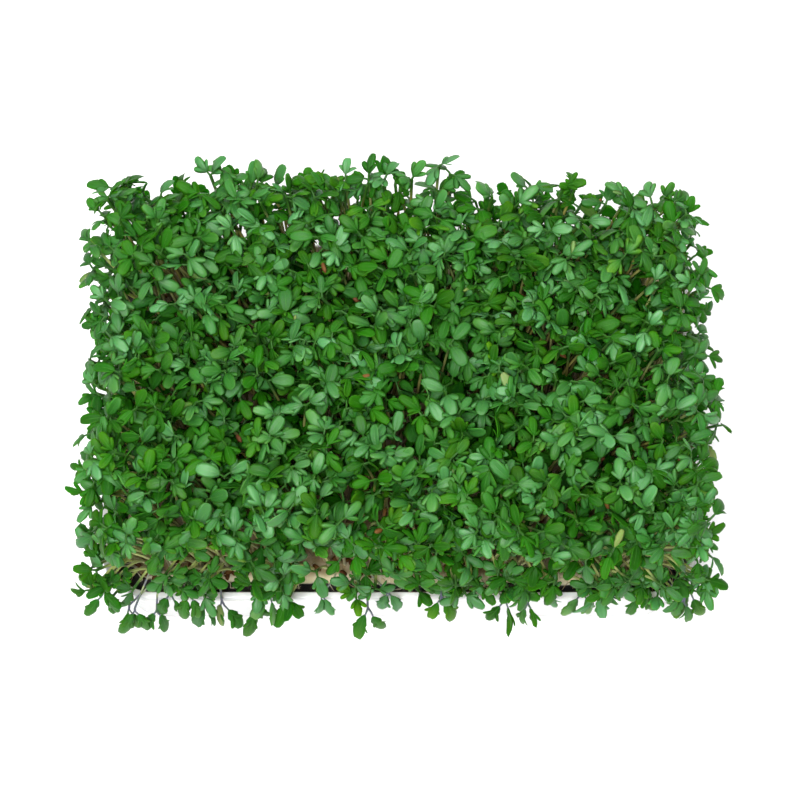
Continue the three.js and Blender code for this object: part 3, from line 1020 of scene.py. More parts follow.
@dataclass
class Seedling:
    """One seedling: a stem and a pair of seed leaves, each cut into three lobes.

    The pairs front_edge, side_edge and shaded_from are where a change starts, and the stretch that it takes.
    """

    root: Vector
    control: Vector
    top: Vector
    normal: Vector
    turn: float
    size: float = 1.0
    habit: Habit = Habit.UPRIGHT
    stem_radius: Span = (0.45 * MM, 0.37 * MM)
    stem_steps: int = 6
    stem_head: float = 1.25
    stalk: Span = (0.6 * MM, 1.9 * MM)
    stalk_radius: Span = (0.34 * MM, 0.26 * MM)
    stalk_bend: float = 0.55
    stalk_overlap: float = 0.4 * MM
    stalk_along: Point = (0.92, 0.97, 1.02)
    rise: Span = (0.5, 1.15)
    pitch: Point = (-0.1, 1.3, 0.75)
    centre_length: float = 5.55 * MM
    centre_sizes: Span = (0.82, 1.15)
    side_length: float = 3.6 * MM
    side_sizes: Span = (0.82, 1.12)
    opening: Span = (0.50, 0.80)
    side_tilt: Span = (-0.1, 0.45)
    sag: Span = (-0.10, 0.22)
    breadths: Span = (0.90, 1.12)
    roll: float = 0.40
    edge_on_roll: float = 1.2
    edge_on_chance: float = 0.3
    withered: float = 0.004
    toothed_outside: float = 0.3
    front_edge: Span = (-47 * MM, 9 * MM)
    side_edge: Span = (75 * MM, 7 * MM)
    shaded_from: Span = (70 * MM, 17 * MM)
    least_shaded: float = 0.1

    def grow(self, skeleton: Skeleton, rng: Random) -> None:
        """Adds the seedling to a tuft's skeleton.

        Args:
            skeleton: the tuft's skeleton.
            rng: the canopy's random draws.
        """
        hold = HOLDS[self.habit]
        inside, shade, steps = self.inside(), self.shade(), self.stem_steps
        blush = rng.uniform(*hold.blush)
        low, high = (radius * hold.stem_girth for radius in self.stem_radius)
        radii = [low + (high - low) * i / steps for i in range(steps + 1)]
        radii[-1] *= self.stem_head
        # The shade value paints darker leaves deep in the canopy; the bloom, partly a painted sheen, is kept off
        # them
        looks = {"tone": within(rng.gauss(0.5, 0.3), 0, 1), "bloom": (1 - shade) * rng.random() ** 1.9}
        sunny = rng.random() < hold.sunny_chance
        looks["warmth"] = rng.uniform(0.5, 1) if sunny else rng.uniform(0, 0.5) ** 1.5
        looks["shade"] = within(shade + rng.uniform(-0.15, 0.15), 0, 1)
        # The stem's shade value sets how much painted shade darkens it inside the bed
        skeleton.line(bezier(self.root, self.control, self.top, steps), radii,
                      [i / steps for i in range(steps + 1)], blush=blush,
                      warmth=rng.random() * (hold.stem_warmth[0] + hold.stem_warmth[1] * inside),
                      shade=rng.uniform(0.1, 1) * inside)
        for half in (0, 1):
            self._grow_leaf(skeleton, rng, half, blush, looks)

    def inside(self) -> float:
        """How deep the seedling stands in the bed, from 0 at its edge to 1 well inside."""
        (front, deep), (side, wide) = self.front_edge, self.side_edge
        return within(min((self.top.y - front) / deep, (side - abs(self.top.x)) / wide), 0, 1)

    def shade(self) -> float:
        """How far down in the canopy the leaves are, from 0 in the open to 1 in its depths; their finish paints
        shade from it.
        """
        light, depth = self.shaded_from
        return within((light - self.top.z) / depth, 0, 1) * max(self.least_shaded, self.inside())

    def _grow_leaf(self, skeleton: Skeleton, rng: Random, half: int, blush: float,
                   looks: dict[str, float]) -> None:
        """Adds one of the two seed leaves: its stalk and its three lobes.

        Args:
            skeleton: the tuft's skeleton.
            rng: the canopy's random draws.
            half: 0 or 1, the side of the stem.
            blush: how purple the stalk is.
            looks: the leaves' own colour values.
        """
        hold = HOLDS[self.habit]
        hanging = self.habit is Habit.HANGING
        stalk = rng.uniform(*self.stalk) * self.size * hold.stalk_length
        start_way, out, leaf_way, leaf_up = (self._hanging_ways if hanging else self._upright_ways)(half, rng)
        foot = self.top + out * stalk
        thick, thin = (radius * hold.stalk_girth for radius in self.stalk_radius)
        bend = self.top + start_way * (self.stalk_bend * stalk)
        skeleton.line(bezier(self.top, bend, foot + leaf_way * self.stalk_overlap, 2),
                      [thick, (thick + thin) / 2, thin], self.stalk_along, blush=blush)
        along, across, up = squared(leaf_way, leaf_up)
        edge_on = hanging and rng.random() < self.edge_on_chance
        roll = Matrix.Rotation(rng.gauss(0, self.edge_on_roll if edge_on else self.roll), 3, along)
        across, up = roll @ across, roll @ up
        centre = self.centre_length * hold.centre_length * self.size * rng.uniform(*self.centre_sizes)
        toothed = hanging or self.inside() < self.toothed_outside
        kind = rng.choice(TOOTHED_KINDS if toothed else CENTRE_KINDS)
        self._set_lobe(skeleton, rng, foot, along, up, centre, kind, looks)
        for hand in (-1, 1):
            opening = hold.opening * rng.uniform(*self.opening)
            way = along * math.cos(opening) + across * (hand * math.sin(opening))
            tilt = Matrix.Rotation(hand * rng.uniform(*self.side_tilt), 3, way)
            length = self.side_length * self.size * rng.uniform(*self.side_sizes)
            kind = rng.choice(SIDE_KINDS[hand])
            at = foot + along * (hold.side_ahead * centre)
            self._set_lobe(skeleton, rng, at, way, tilt @ up, length, kind, looks)

    def _hanging_ways(self, half: int, rng: Random) -> tuple[Vector, Vector, Vector, Vector]:
        """The ways in which a hanging leaf's stalk starts and ends, and the leaf's own ways along and up."""
        spread = (2 * half - 1) * rng.uniform(0.12, 0.55) + rng.uniform(-0.15, 0.15)
        out = Vector((spread, -rng.uniform(0.45, 0.75), -rng.uniform(0.55, 0.95))).normalized()
        start_way = (out + Vector((rng.uniform(-0.7, 0.7), -0.6, 0.7))).normalized()
        return start_way, out, out, Vector((spread * 0.4, -0.75, 0.65))

    def _upright_ways(self, half: int, rng: Random) -> tuple[Vector, Vector, Vector, Vector]:
        """The ways in which an upright leaf's stalk starts and ends, and the leaf's own ways along and up."""
        normal = self.normal.normalized()
        side, _, _ = squared(Vector((math.cos(self.turn), math.sin(self.turn), 0)), normal)
        side = side - normal * side.dot(normal)
        azimuth = math.pi * half + rng.gauss(0, 0.5)
        side = Matrix.Rotation(azimuth, 3, normal) @ side.normalized()
        rise = rng.uniform(*self.rise)
        out = side * math.cos(rise) + normal * math.sin(rise)
        pitch = rise - rng.triangular(*self.pitch)
        leaf_way = side * math.cos(pitch) + normal * math.sin(pitch)
        leaf_up = normal * math.cos(pitch) - side * math.sin(pitch)
        return (out + normal * 0.5).normalized(), out, leaf_way, leaf_up

    def _set_lobe(self, skeleton: Skeleton, rng: Random, foot: Vector, way: Vector, up: Vector,
                  length: float, kind: int, looks: dict[str, float]) -> None:
        """Adds one lobe of a seed leaf.

        Args:
            skeleton: the tuft's skeleton.
            rng: the canopy's random draws.
            foot: where the lobe starts.
            way: the direction that it grows in.
            up: the way its upper face looks.
            length: its length.
            kind: which shape it has.
            looks: the leaf's own colour values.
        """
        narrow, broader = HOLDS[self.habit].breadth
        up = up.normalized()
        sag = rng.uniform(*self.sag) * length
        breadth = (narrow + broader * self.inside()) * length * rng.uniform(*self.breadths)
        colours = dict(looks, tone=within(looks["tone"] + rng.uniform(-0.15, 0.15), 0, 1),
                       blush=rng.uniform(0.3, 0.9) if rng.random() < self.withered else 0.0)
        skeleton.spot(foot, way, up, Vector((length, breadth, length)), kind,
                      bend=tuple(-up * sag), lift=tuple(up * length), **colours)


@dataclass(frozen=True)
class Bed:
    """The rows of tufts and the canopy that they carry, as the model's source plans them."""

    columns: int = 8
    rows: int = 5
    width: float = 122 * MM
    depth: float = 70 * MM
    set_back: float = 2 * MM
    mat_top: float = 28 * MM
    root_ring: float = 1.4 * MM
    root_depth: float = 1 * MM
    upright: float = 0.6
    canopy_width: float = 143 * MM
    canopy_depth: float = 86 * MM
    canopy_set_back: float = 1 * MM
    heights: tuple[float, ...] = (28 * MM, 33.5 * MM, 39 * MM, 44 * MM)
    edge_drop: float = 4 * MM
    edge_tilt: float = 0.35
    uneven: Span = (1.8 * MM, 1.4 * MM)
    uneven_tilt: float = 0.14
    hanging_front: float = -52 * MM
    hanging_height: float = 9.5 * MM
    hanging_bend: float = 24 * MM
    hanging_tilt: float = -1.3
    hanging_swing: float = 4 * MM
    hanging_follow: float = 0.4
    seed: int = 15

    @property
    def tufts(self) -> int:
        """How many tufts the bed has."""
        return self.rows * self.columns

    def tuft_at(self, number: int) -> Vector:
        """The middle of a tuft on the mat."""
        row, column = divmod(number, self.columns)
        x = share(column, self.columns) * self.width / 2
        return Vector((x, self.set_back + share(row, self.rows) * self.depth / 2, self.mat_top))

    def nearest(self, root: Vector) -> int:
        """The number of the tuft whose middle is nearest to a root."""
        return min(range(self.tufts), key=lambda n: (self.tuft_at(n) - root).length)

    def root_at(self, x: float, y: float) -> Vector:
        """Where a stem that leaves the mat at a place starts, a little way down in the mat."""
        return Vector((x, y, self.mat_top - self.root_depth))

    def bend(self, root: Vector, top: Vector, aside: float, rise: float) -> Vector:
        """The point that a stem bends towards.

        Args:
            root: where the stem starts.
            top: where it carries its leaves.
            aside: how far it lies from root to top, as a share.
            rise: how high it lies between the mat and the top, as a share.

        Returns:
            The point.
        """
        made = root.lerp(top, aside)
        made.z = self.mat_top + rise * (top.z - self.mat_top)
        return made

    def planned(self) -> list[list[Seedling]]:
        """The seedlings of the model's source, before some are bent aside there, as a list for each tuft."""
        draws = Draws(self.seed)
        made = []
        for number in range(self.tufts):
            tuft = [self._upright(number, corner, draws) for corner in range(4)]
            if number < self.columns:
                tuft.append(self._hanging(number, draws))
            made.append(tuft)
        return made

    def _upright(self, number: int, corner: int, draws: Draws) -> Seedling:
        """One of a tuft's four upright seedlings.

        Args:
            number: the tuft's number.
            corner: which of the four it is.
            draws: the plan's stream of numbers.

        Returns:
            The seedling.
        """
        row, column = divmod(number, self.columns)
        across, back = 2 * column + corner % 2, 2 * row + corner // 2
        out_x, out_y = share(across, 2 * self.columns), share(back, 2 * self.rows)
        height = self.heights[(across + 2 * back) % len(self.heights)]
        aside, higher = self.uneven
        x = self.canopy_width / 2 * out_x + draws.swing(aside)
        y = self.canopy_set_back + self.canopy_depth / 2 * out_y + draws.swing(aside)
        z = self.mat_top + height - self.edge_drop * max(out_x**6, out_y**6) + draws.swing(higher)
        tilt_x = self.edge_tilt * out_x**3 + draws.swing(self.uneven_tilt)
        tilt_y = self.edge_tilt * out_y**3 + draws.swing(self.uneven_tilt)
        return self._rooted(number, Vector((x, y, z)), Vector((tilt_x, tilt_y, 1)))

    def _hanging(self, number: int, draws: Draws) -> Seedling:
        """The seedling of a front tuft that hangs over the rim."""
        x = self.tuft_at(number).x * self.canopy_width / self.width + draws.swing(self.hanging_swing)
        hang = draws.swing(self.hanging_swing)
        top = Vector((x, self.hanging_front - self.hanging_follow * hang,
                      self.mat_top + self.hanging_height - hang))
        made = self._rooted(number, top, Vector((draws.swing(self.uneven_tilt), self.hanging_tilt, 1)))
        made.control = Vector((made.root.x, (made.root.y + top.y) / 2, self.mat_top + self.hanging_bend))
        made.habit = Habit.HANGING
        return made

    def _rooted(self, number: int, top: Vector, normal: Vector) -> Seedling:
        """A seedling that rises from the ring of roots in its tuft's middle.

        Args:
            number: the tuft's number.
            top: where it carries its leaves.
            normal: the way its leaves face.

        Returns:
            The seedling.
        """
        middle = self.tuft_at(number)
        aside = Vector((top.x - middle.x, top.y - middle.y, 0)).normalized() * self.root_ring
        root = middle + aside
        control = self.bend(root, top, 0, self.upright)
        root.z -= self.root_depth
        return Seedling(root, control, top, normal, 0.0)


@dataclass(frozen=True)
class Sowing:
    """The many seedlings between the planned ones: a jittered grid that fills the canopy."""

    across: int = 7
    deep: int = 6
    half_width: float = 76.5 * MM
    front: float = -48 * MM
    back: float = 54 * MM
    back_slope: float = 9 * MM
    corner: float = 10 * MM
    jitter: float = 2.2 * MM
    tall: Span = (36 * MM, 45 * MM)
    middling: Span = (28 * MM, 37 * MM)
    short: Span = (17 * MM, 28 * MM)
    chances: Span = (0.58, 0.90)
    clump: float = 10.5 * MM
    clump_layer: float = 0.37
    clumping: float = 0.8
    gap: float = -0.16
    gap_chance: float = 0.40
    closed_edge: float = 0.85
    splay: float = 0.4
    tilt: float = 0.24
    root_share: float = 0.9
    root_jitter: float = 4 * MM
    root_half_x: float = 70 * MM
    root_y: Span = (-41 * MM, 43 * MM)
    bow: float = 4.5 * MM
    size: Span = (0.88, 1.1)
    seed: int = 407

    def place(self, share_x: float, share_y: float, rng: Random) -> Vector:
        """A place in the canopy, from shares of its half width and half depth.

        Args:
            share_x: from -1 at the left to 1 at the right.
            share_y: from -1 at the front to 1 at the back.
            rng: the random draws.

        Returns:
            The place, kept within the canopy's rounded corners.
        """
        back = self.back - self.back_slope * ((share_x + 1) / 2) ** 2
        middle, half = (self.front + back) / 2, (back - self.front) / 2
        x = self.half_width * share_x + rng.uniform(-self.jitter, self.jitter)
        y = middle + half * share_y + rng.uniform(-self.jitter, self.jitter)
        over_x = max(0.0, abs(x) - (self.half_width - self.corner))
        over_y = max(0.0, abs(y - middle) - (half - self.corner))
        over = math.hypot(over_x, over_y)
        if over_x > 0 and over_y > 0 and over > self.corner:
            x -= math.copysign(over_x * (1 - self.corner / over), x)
            y -= math.copysign(over_y * (1 - self.corner / over), y - middle)
        return Vector((x, y, 0))

    def growth(self, at: Vector) -> float:
        """How well the seedlings do at a place: about -0.6 in a gap and 0.6 in a clump."""
        return noise.noise(Vector((at.x / self.clump, at.y / self.clump, self.clump_layer)))

    def height(self, rng: Random, growth: float) -> float:
        """How tall a seedling stands over the mat, from the growth at its place."""
        chance = rng.random() - self.clumping * growth
        if chance < self.chances[0]:
            return rng.uniform(*self.tall)
        return rng.uniform(*(self.middling if chance < self.chances[1] else self.short))

    def sown(self, bed: Bed, number: int, rng: Random) -> list[Seedling]:
        """The seedlings sown round one tuft.

        Args:
            bed: the bed.
            number: the tuft's number.
            rng: the random draws.

        Returns:
            The seedlings.
        """
        row, column = divmod(number, bed.columns)
        made = []
        for i in range(self.across):
            for j in range(self.deep):
                share_x = 2 * (column * self.across + i + 0.5) / (bed.columns * self.across) - 1
                share_y = 2 * (row * self.deep + j + 0.5) / (bed.rows * self.deep) - 1
                top = self.place(share_x, share_y, rng)
                growth = self.growth(top)
                inside = max(abs(share_x), abs(share_y)) < self.closed_edge
                if growth < self.gap and inside and rng.random() < self.gap_chance:
                    continue
                edge = max(abs(share_x) ** 6, abs(share_y) ** 6)
                top.z = bed.mat_top + self.height(rng, growth) - bed.edge_drop * edge * rng.uniform(0.4, 1.6)
                made.append(self._seedling(bed, top, share_x, share_y, rng))
        return made

    def _seedling(self, bed: Bed, top: Vector, share_x: float, share_y: float,
                  rng: Random) -> Seedling:
        """One seedling, from the place of its leaves.

        Args:
            bed: the bed.
            top: where it carries its leaves.
            share_x: its share of the canopy's half width.
            share_y: its share of the canopy's half depth.
            rng: the random draws.

        Returns:
            The seedling.
        """
        normal = Vector((self.splay * share_x**3 + rng.gauss(0, self.tilt),
                         self.splay * share_y**3 + rng.gauss(0, self.tilt), 1))
        x = top.x * self.root_share + rng.uniform(-self.root_jitter, self.root_jitter)
        y = top.y * self.root_share + rng.uniform(-self.root_jitter, self.root_jitter)
        root = bed.root_at(within(x, -self.root_half_x, self.root_half_x), within(y, *self.root_y))
        bow = Vector((rng.uniform(-self.bow, self.bow), rng.uniform(-self.bow, self.bow), 0))
        control = bed.bend(root, top, 0, bed.upright) + bow
        return Seedling(root, control, top, normal, rng.uniform(0, TURN), rng.uniform(*self.size))


@dataclass(frozen=True)
class Skirt:
    """Seedlings that lean out all round the bed, lower than the canopy, with gaps between them."""

    count: int = 112
    half_x: float = 78 * MM
    front: float = -51.5 * MM
    back: float = 51 * MM
    corner: float = 9 * MM
    corner_steps: int = 6
    low: Span = (38 * MM, 62 * MM)
    lean: float = 0.9
    spread: float = 0.2
    root_share: Span = (0.86, 0.82)
    bend: Span = (0.35, 0.7)
    size: Span = (0.8, 1.05)
    seed: int = 12

    def sown(self, bed: Bed) -> list[Seedling]:
        """The seedlings, in their order round the bed."""
        rng = Random(self.seed)
        middle = (self.front + self.back) / 2
        outline = rounded_outline(self.half_x, self.back - middle, self.corner, self.corner_steps)
        lengths = [(b - a).length for a, b in zip(outline, outline[1:] + outline[:1])]
        made = []
        for k in range(self.count):
            ahead = (k + rng.uniform(0.1, 0.9)) / self.count * sum(lengths)
            side = 0
            while ahead > lengths[side]:
                ahead -= lengths[side]
                side += 1
            start, end = outline[side], outline[(side + 1) % len(outline)]
            at = start.lerp(end, ahead / lengths[side])
            out = Vector((end.y - start.y, start.x - end.x, 0)).normalized()
            height = rng.uniform(*self.low)
            top = at + out * rng.uniform(-3, 1) * MM + Vector((0, middle, height))
            normal = out * rng.uniform(0.3, 1) * self.lean
            normal += Vector((rng.gauss(0, self.spread), rng.gauss(0, self.spread), 1))
            root = bed.root_at(at.x * self.root_share[0], at.y * self.root_share[1] + middle)
            made.append(Seedling(root, bed.bend(root, top, *self.bend), top, normal, rng.uniform(0, TURN),
                                 rng.uniform(*self.size)))
        return made


@dataclass(frozen=True)
class FrontFringe:
    """Seedlings that lean out over the front rim and hang there, thickest towards the left.

    Places, lows and windows are in millimetres: where along the rim a seedling hangs, how far down, and where
    the front of the mat shows, as a middle and half a width. The pair hanging_from is where the leaves hang at a
    low of 0, as y and as height over the mat, and hanging_by is what each step of low adds.
    """

    places: tuple[float, ...] = (-76, -70, -63, -59, -50, -46, -37, -29, -20, -3, 27, 47, 62, 74)
    lows: tuple[float, ...] = (2, 8, 10, 2, 8, 6, 7, 4, 3, 2, 6, 1, 1, 1)
    windows: tuple[Span, ...] = ((-64, 2.4), (-42, 2.2), (-20.5, 4.2), (-2, 1.5), (9.5, 1.5), (44, 2.2))
    hanging_root: float = -40.5 * MM
    hanging_from: Span = (-49.5 * MM, 11.5 * MM)
    hanging_by: Span = (-0.35 * MM, -0.9 * MM)
    hanging_bend: float = 22 * MM
    hanging_size: Span = (0.85, 1.05)
    leaners: int = 88
    leaner_front: Span = (48.5 * MM, 52.5 * MM)
    leaner_height: Span = (37 * MM, 52 * MM)
    leaner_root: Span = (36 * MM, 41 * MM)
    leaner_size: Span = (0.75, 1.02)
    half_x: float = 79 * MM
    root_half_x: float = 69 * MM
    clear_width: float = 1.8 * MM
    clear_front: float = -45.5 * MM
    clear_height: float = 56 * MM
    seed: int = 91

    def in_window(self, x: float, beside: float) -> bool:
        """Whether a place along the rim is in a window, or less than a stretch beside one."""
        return any(abs(x - middle * MM) < half * MM + beside for middle, half in self.windows)

    def opens_at(self, seedling: Seedling) -> bool:
        """Whether an upright seedling would hide one of the places where the front of the mat shows."""
        at = seedling.top
        if seedling.habit is Habit.HANGING or at.y > self.clear_front or at.z > self.clear_height:
            return False
        return self.in_window(at.x, self.clear_width)

    def sown(self, bed: Bed) -> list[Seedling]:
        """The seedlings: those that hang, then those that only lean out."""
        rng = Random(self.seed)
        return self._hanging(bed, rng) + self._leaning(bed, rng)

    def _hanging(self, bed: Bed, rng: Random) -> list[Seedling]:
        """The seedlings whose leaves hang over the rim."""
        made = []
        for place, low in zip(self.places, self.lows, strict=True):
            x = place * MM
            y, z = (start + by * low for start, by in zip(self.hanging_from, self.hanging_by))
            top = Vector((x, y, bed.mat_top + z))
            root_x = within(x * 0.94 + rng.uniform(-3, 3) * MM, -self.root_half_x, self.root_half_x)
            root = bed.root_at(root_x, self.hanging_root)
            bend_x = root.x + rng.uniform(-9, 9) * MM
            control = Vector((bend_x, (root.y + top.y) / 2, bed.mat_top + self.hanging_bend))
            normal = Vector((rng.uniform(-0.2, 0.2), -1.3, 1))
            size = rng.uniform(*self.hanging_size)
            made.append(Seedling(root, control, top, normal, 0.0, size, Habit.HANGING))
        return made

    def _leaning(self, bed: Bed, rng: Random) -> list[Seedling]:
        """The seedlings that lean out over the rim, with the windows left open."""
        made = []
        for k in range(self.leaners):
            along = share(k, self.leaners)
            x = along * self.half_x + rng.uniform(-2, 2) * MM
            if self.in_window(x, 1 * MM):
                continue
            top = Vector((x, -rng.uniform(*self.leaner_front), rng.uniform(*self.leaner_height)))
            root = bed.root_at(x * 0.9, -rng.uniform(*self.leaner_root))
            control = Vector((root.x, (root.y + top.y) / 2 + 3 * MM, top.z + 2 * MM))
            normal = Vector((rng.gauss(0, 0.25) + 0.3 * along**5, -rng.uniform(0.3, 1.0), 1))
            made.append(Seedling(root, control, top, normal, rng.uniform(0, TURN),
                                 rng.uniform(*self.leaner_size)))
        return made


@dataclass(frozen=True)
class Strays:
    """Single seedlings that stand out of the canopy's outline: place in mm, and the way they lean."""

    places: tuple[tuple[float, float, float, float, float], ...] = (
        (10, 53, 74, 0.2, 0.2), (13, 52, 71, 0.3, 0.3), (-8, 50, 72, -0.2, 0.2), (-4, 51, 70, 0.1, 0.2),
        (3, 50, 72, 0, 0.3), (-14, 50, 71, -0.2, 0.2), (33, 48, 70, 0.1, 0.3), (42, 48, 71, 0.1, 0.3),
        (45, 48, 70, 0.2, 0.3), (58, 45, 70, 0.2, 0.3), (78, 29, 66, 0.6, 0.1), (78, 24, 63, 0.6, 0.0),
        (79, -7, 64, 0.5, 0.0), (80, -13, 60, 0.6, -0.1), (78, 6, 60, 0.5, 0.1), (78, -44, 50, 0.6, -0.3),
        (77, -48, 46, 0.5, -0.6), (76, -50, 50, 0.4, -0.6), (-79, 34, 66, -0.5, 0.1),
        (-79, 29, 62, -0.6, 0.1), (-79, 4, 62, -0.6, 0.0), (-78, -15, 60, -0.4, -0.1),
        (-79, -24, 58, -0.5, -0.1), (-78, -42, 50, -0.6, -0.3), (-78, -46, 46, -0.5, -0.5))
    root_share: Span = (0.84, 0.84 * 0.95)
    bend: Span = (0.3, 0.7)
    size: Span = (0.9, 1.1)
    seed: int = 31

    def sown(self, bed: Bed) -> list[Seedling]:
        """The seedlings, one for each place."""
        rng = Random(self.seed)
        made = []
        for x, y, z, lean_x, lean_y in self.places:
            top = Vector((x, y, z)) * MM
            root = bed.root_at(x * self.root_share[0] * MM, y * self.root_share[1] * MM)
            made.append(Seedling(root, bed.bend(root, top, *self.bend), top, Vector((lean_x, lean_y, 1)),
                                 rng.uniform(0, TURN), rng.uniform(*self.size)))
        return made


@dataclass
class Canopy:
    """All the seedlings, as one piece for each tuft of the model."""

    bed: Bed = field(default_factory=Bed)
    sowing: Sowing = field(default_factory=Sowing)
    skirt: Skirt = field(default_factory=Skirt)
    fringe: FrontFringe = field(default_factory=FrontFringe)
    strays: Strays = field(default_factory=Strays)
    sides: int = 4
    waviness: float = 0.06

    def leaning(self) -> list[list[Seedling]]:
        """The seedlings round the bed's edge, for each tuft that they belong to."""
        made: list[list[Seedling]] = [[] for _ in range(self.bed.tufts)]
        for edge in (self.skirt, self.fringe, self.strays):
            for seedling in edge.sown(self.bed):
                made[self.bed.nearest(seedling.root)].append(seedling)
        return made

    def build(self) -> list[Piece]:
        """Grows every tuft and returns the pieces."""
        rng = Random(self.sowing.seed)
        tree = plant_tree()
        inputs = {"Sides": self.sides, "Waviness": self.waviness,
                  "Leaflets": shelf("leaflet_shapes", [shape.mesh() for shape in LEAFLETS]),
                  "Stem_finish": StemFinish().material(), "Leaf_finish": LeafFinish().material()}
        pieces = []
        for number, (planned, leaning) in enumerate(zip(self.bed.planned(), self.leaning(), strict=True)):
            row, column = divmod(number, self.bed.columns)
            skeleton = Skeleton()
            for seedling in planned:
                seedling.turn = rng.uniform(0, TURN)
            for seedling in planned + self.sowing.sown(self.bed, number, rng) + leaning:
                if not self.fringe.opens_at(seedling):
                    seedling.grow(skeleton, rng)
            name = f"r{row + 1}_c{column + 1}"
            piece = grown(f"cress_plants_{name}", skeleton.mesh(f"tuft_{name}"), tree, **inputs)
            pieces.append(declared(piece, "cress", f"cress_tuft_{name}"))
        return pieces


def rounded_outline(half_x: float, half_y: float, corner: float, steps: int) -> list[Vector]:
    """The points of a rectangle with round corners, from the right side round to the left.

    Args:
        half_x: half its width.
        half_y: half its depth.
        corner: the corners' radius.
        steps: how many stretches each corner has.

    Returns:
        The points, flat on z = 0.
    """
    made = []
    for quarter, (sign_x, sign_y) in enumerate(((1, 1), (-1, 1), (-1, -1), (1, -1))):
        for i in range(steps + 1):
            angle = math.pi / 2 * (quarter + i / steps)
            made.append(Vector((sign_x * (half_x - corner) + corner * math.cos(angle),
                                sign_y * (half_y - corner) + corner * math.sin(angle), 0)))
    return made


@dataclass(frozen=True)
class Tray:
    """The shallow white tray: one thin wall all round, with a rim that rolls outwards."""

    width: float = 156 * MM
    depth: float = 101 * MM
    height: float = 32 * MM
    corner: float = 14 * MM
    least_corner: float = 3 * MM
    wall: float = 1.1 * MM
    rim: float = 1.9 * MM
    lip: float = 2.4 * MM
    lip_bulge: float = 0.18 * MM
    edge: float = 0.55 * MM
    foot: float = 1.2 * MM
    tread: float = 3 * MM
    floor_turn: float = 2.2 * MM
    draft: float = math.tan(math.radians(5))
    corner_steps: int = 14
    crease: float = math.radians(50)

    def inset(self, z: float) -> float:
        """How far inside the rim's outline the wall's inner face is, at a height."""
        return self.rim + (self.height - z) * self.draft

    def profile(self) -> list[Span]:
        """The wall's section, from under the floor to over it: insets from the rim's outline, and heights."""
        height, wall, edge, foot, turn = self.height, self.wall, self.edge, self.foot, self.floor_turn
        under = height - self.lip
        outer, base, inner, top = self.inset(0) - wall, self.inset(wall), self.inset(height), height - edge
        quarter = [math.pi / 2 * i / 4 for i in range(5)]
        bulge = [math.pi * i / 3 for i in range(4)]
        return [
            (outer + foot + self.tread, 0.0),
            *((outer + foot * (1 - math.sin(a)), foot * (1 - math.cos(a))) for a in quarter),
            (self.inset(height * 0.5) - wall, height * 0.5),
            (self.inset(height - 2 * wall) - wall, height - 2 * wall),
            (self.inset(height - wall) - wall * 0.95, height - wall * 1.15),
            (wall, height - wall),
            (wall, under),
            *((wall / 2 + wall / 2 * math.cos(a), under - self.lip_bulge * math.sin(a)) for a in bulge),
            *((edge * (1 - math.cos(a)), top + edge * math.sin(a)) for a in quarter),
            *((inner - edge + edge * math.sin(a), top + edge * math.cos(a)) for a in quarter),
            (self.inset(height * 0.5), height * 0.5),
            *((base + turn * (1 - math.cos(a)), wall + turn * (1 - math.sin(a))) for a in quarter),
        ]

    def build(self) -> Piece:
        """Sweeps the section round the tray and closes its floor."""
        bm = bmesh.new()
        rings = []
        for inset, z in self.profile():
            half_x, half_y = self.width / 2 - inset, self.depth / 2 - inset
            corner = max(self.corner - inset, self.least_corner)
            outline = rounded_outline(half_x, half_y, corner, self.corner_steps)
            rings.append([bm.verts.new(p + UP * z) for p in outline])
        for near, far in zip(rings, rings[1:]):
            girdle(bm, near, far)
        bm.faces.new(rings[0][::-1])
        bm.faces.new(rings[-1])
        bmesh.ops.remove_doubles(bm, verts=bm.verts, dist=1e-6)
        mesh = shell(bm, "tray_shell")
        mesh.set_sharp_from_angle(angle=self.crease)
        mesh.materials.append(PlasticFinish().material())
        return declared(placed("tray_shell", mesh), "tray", "tray")


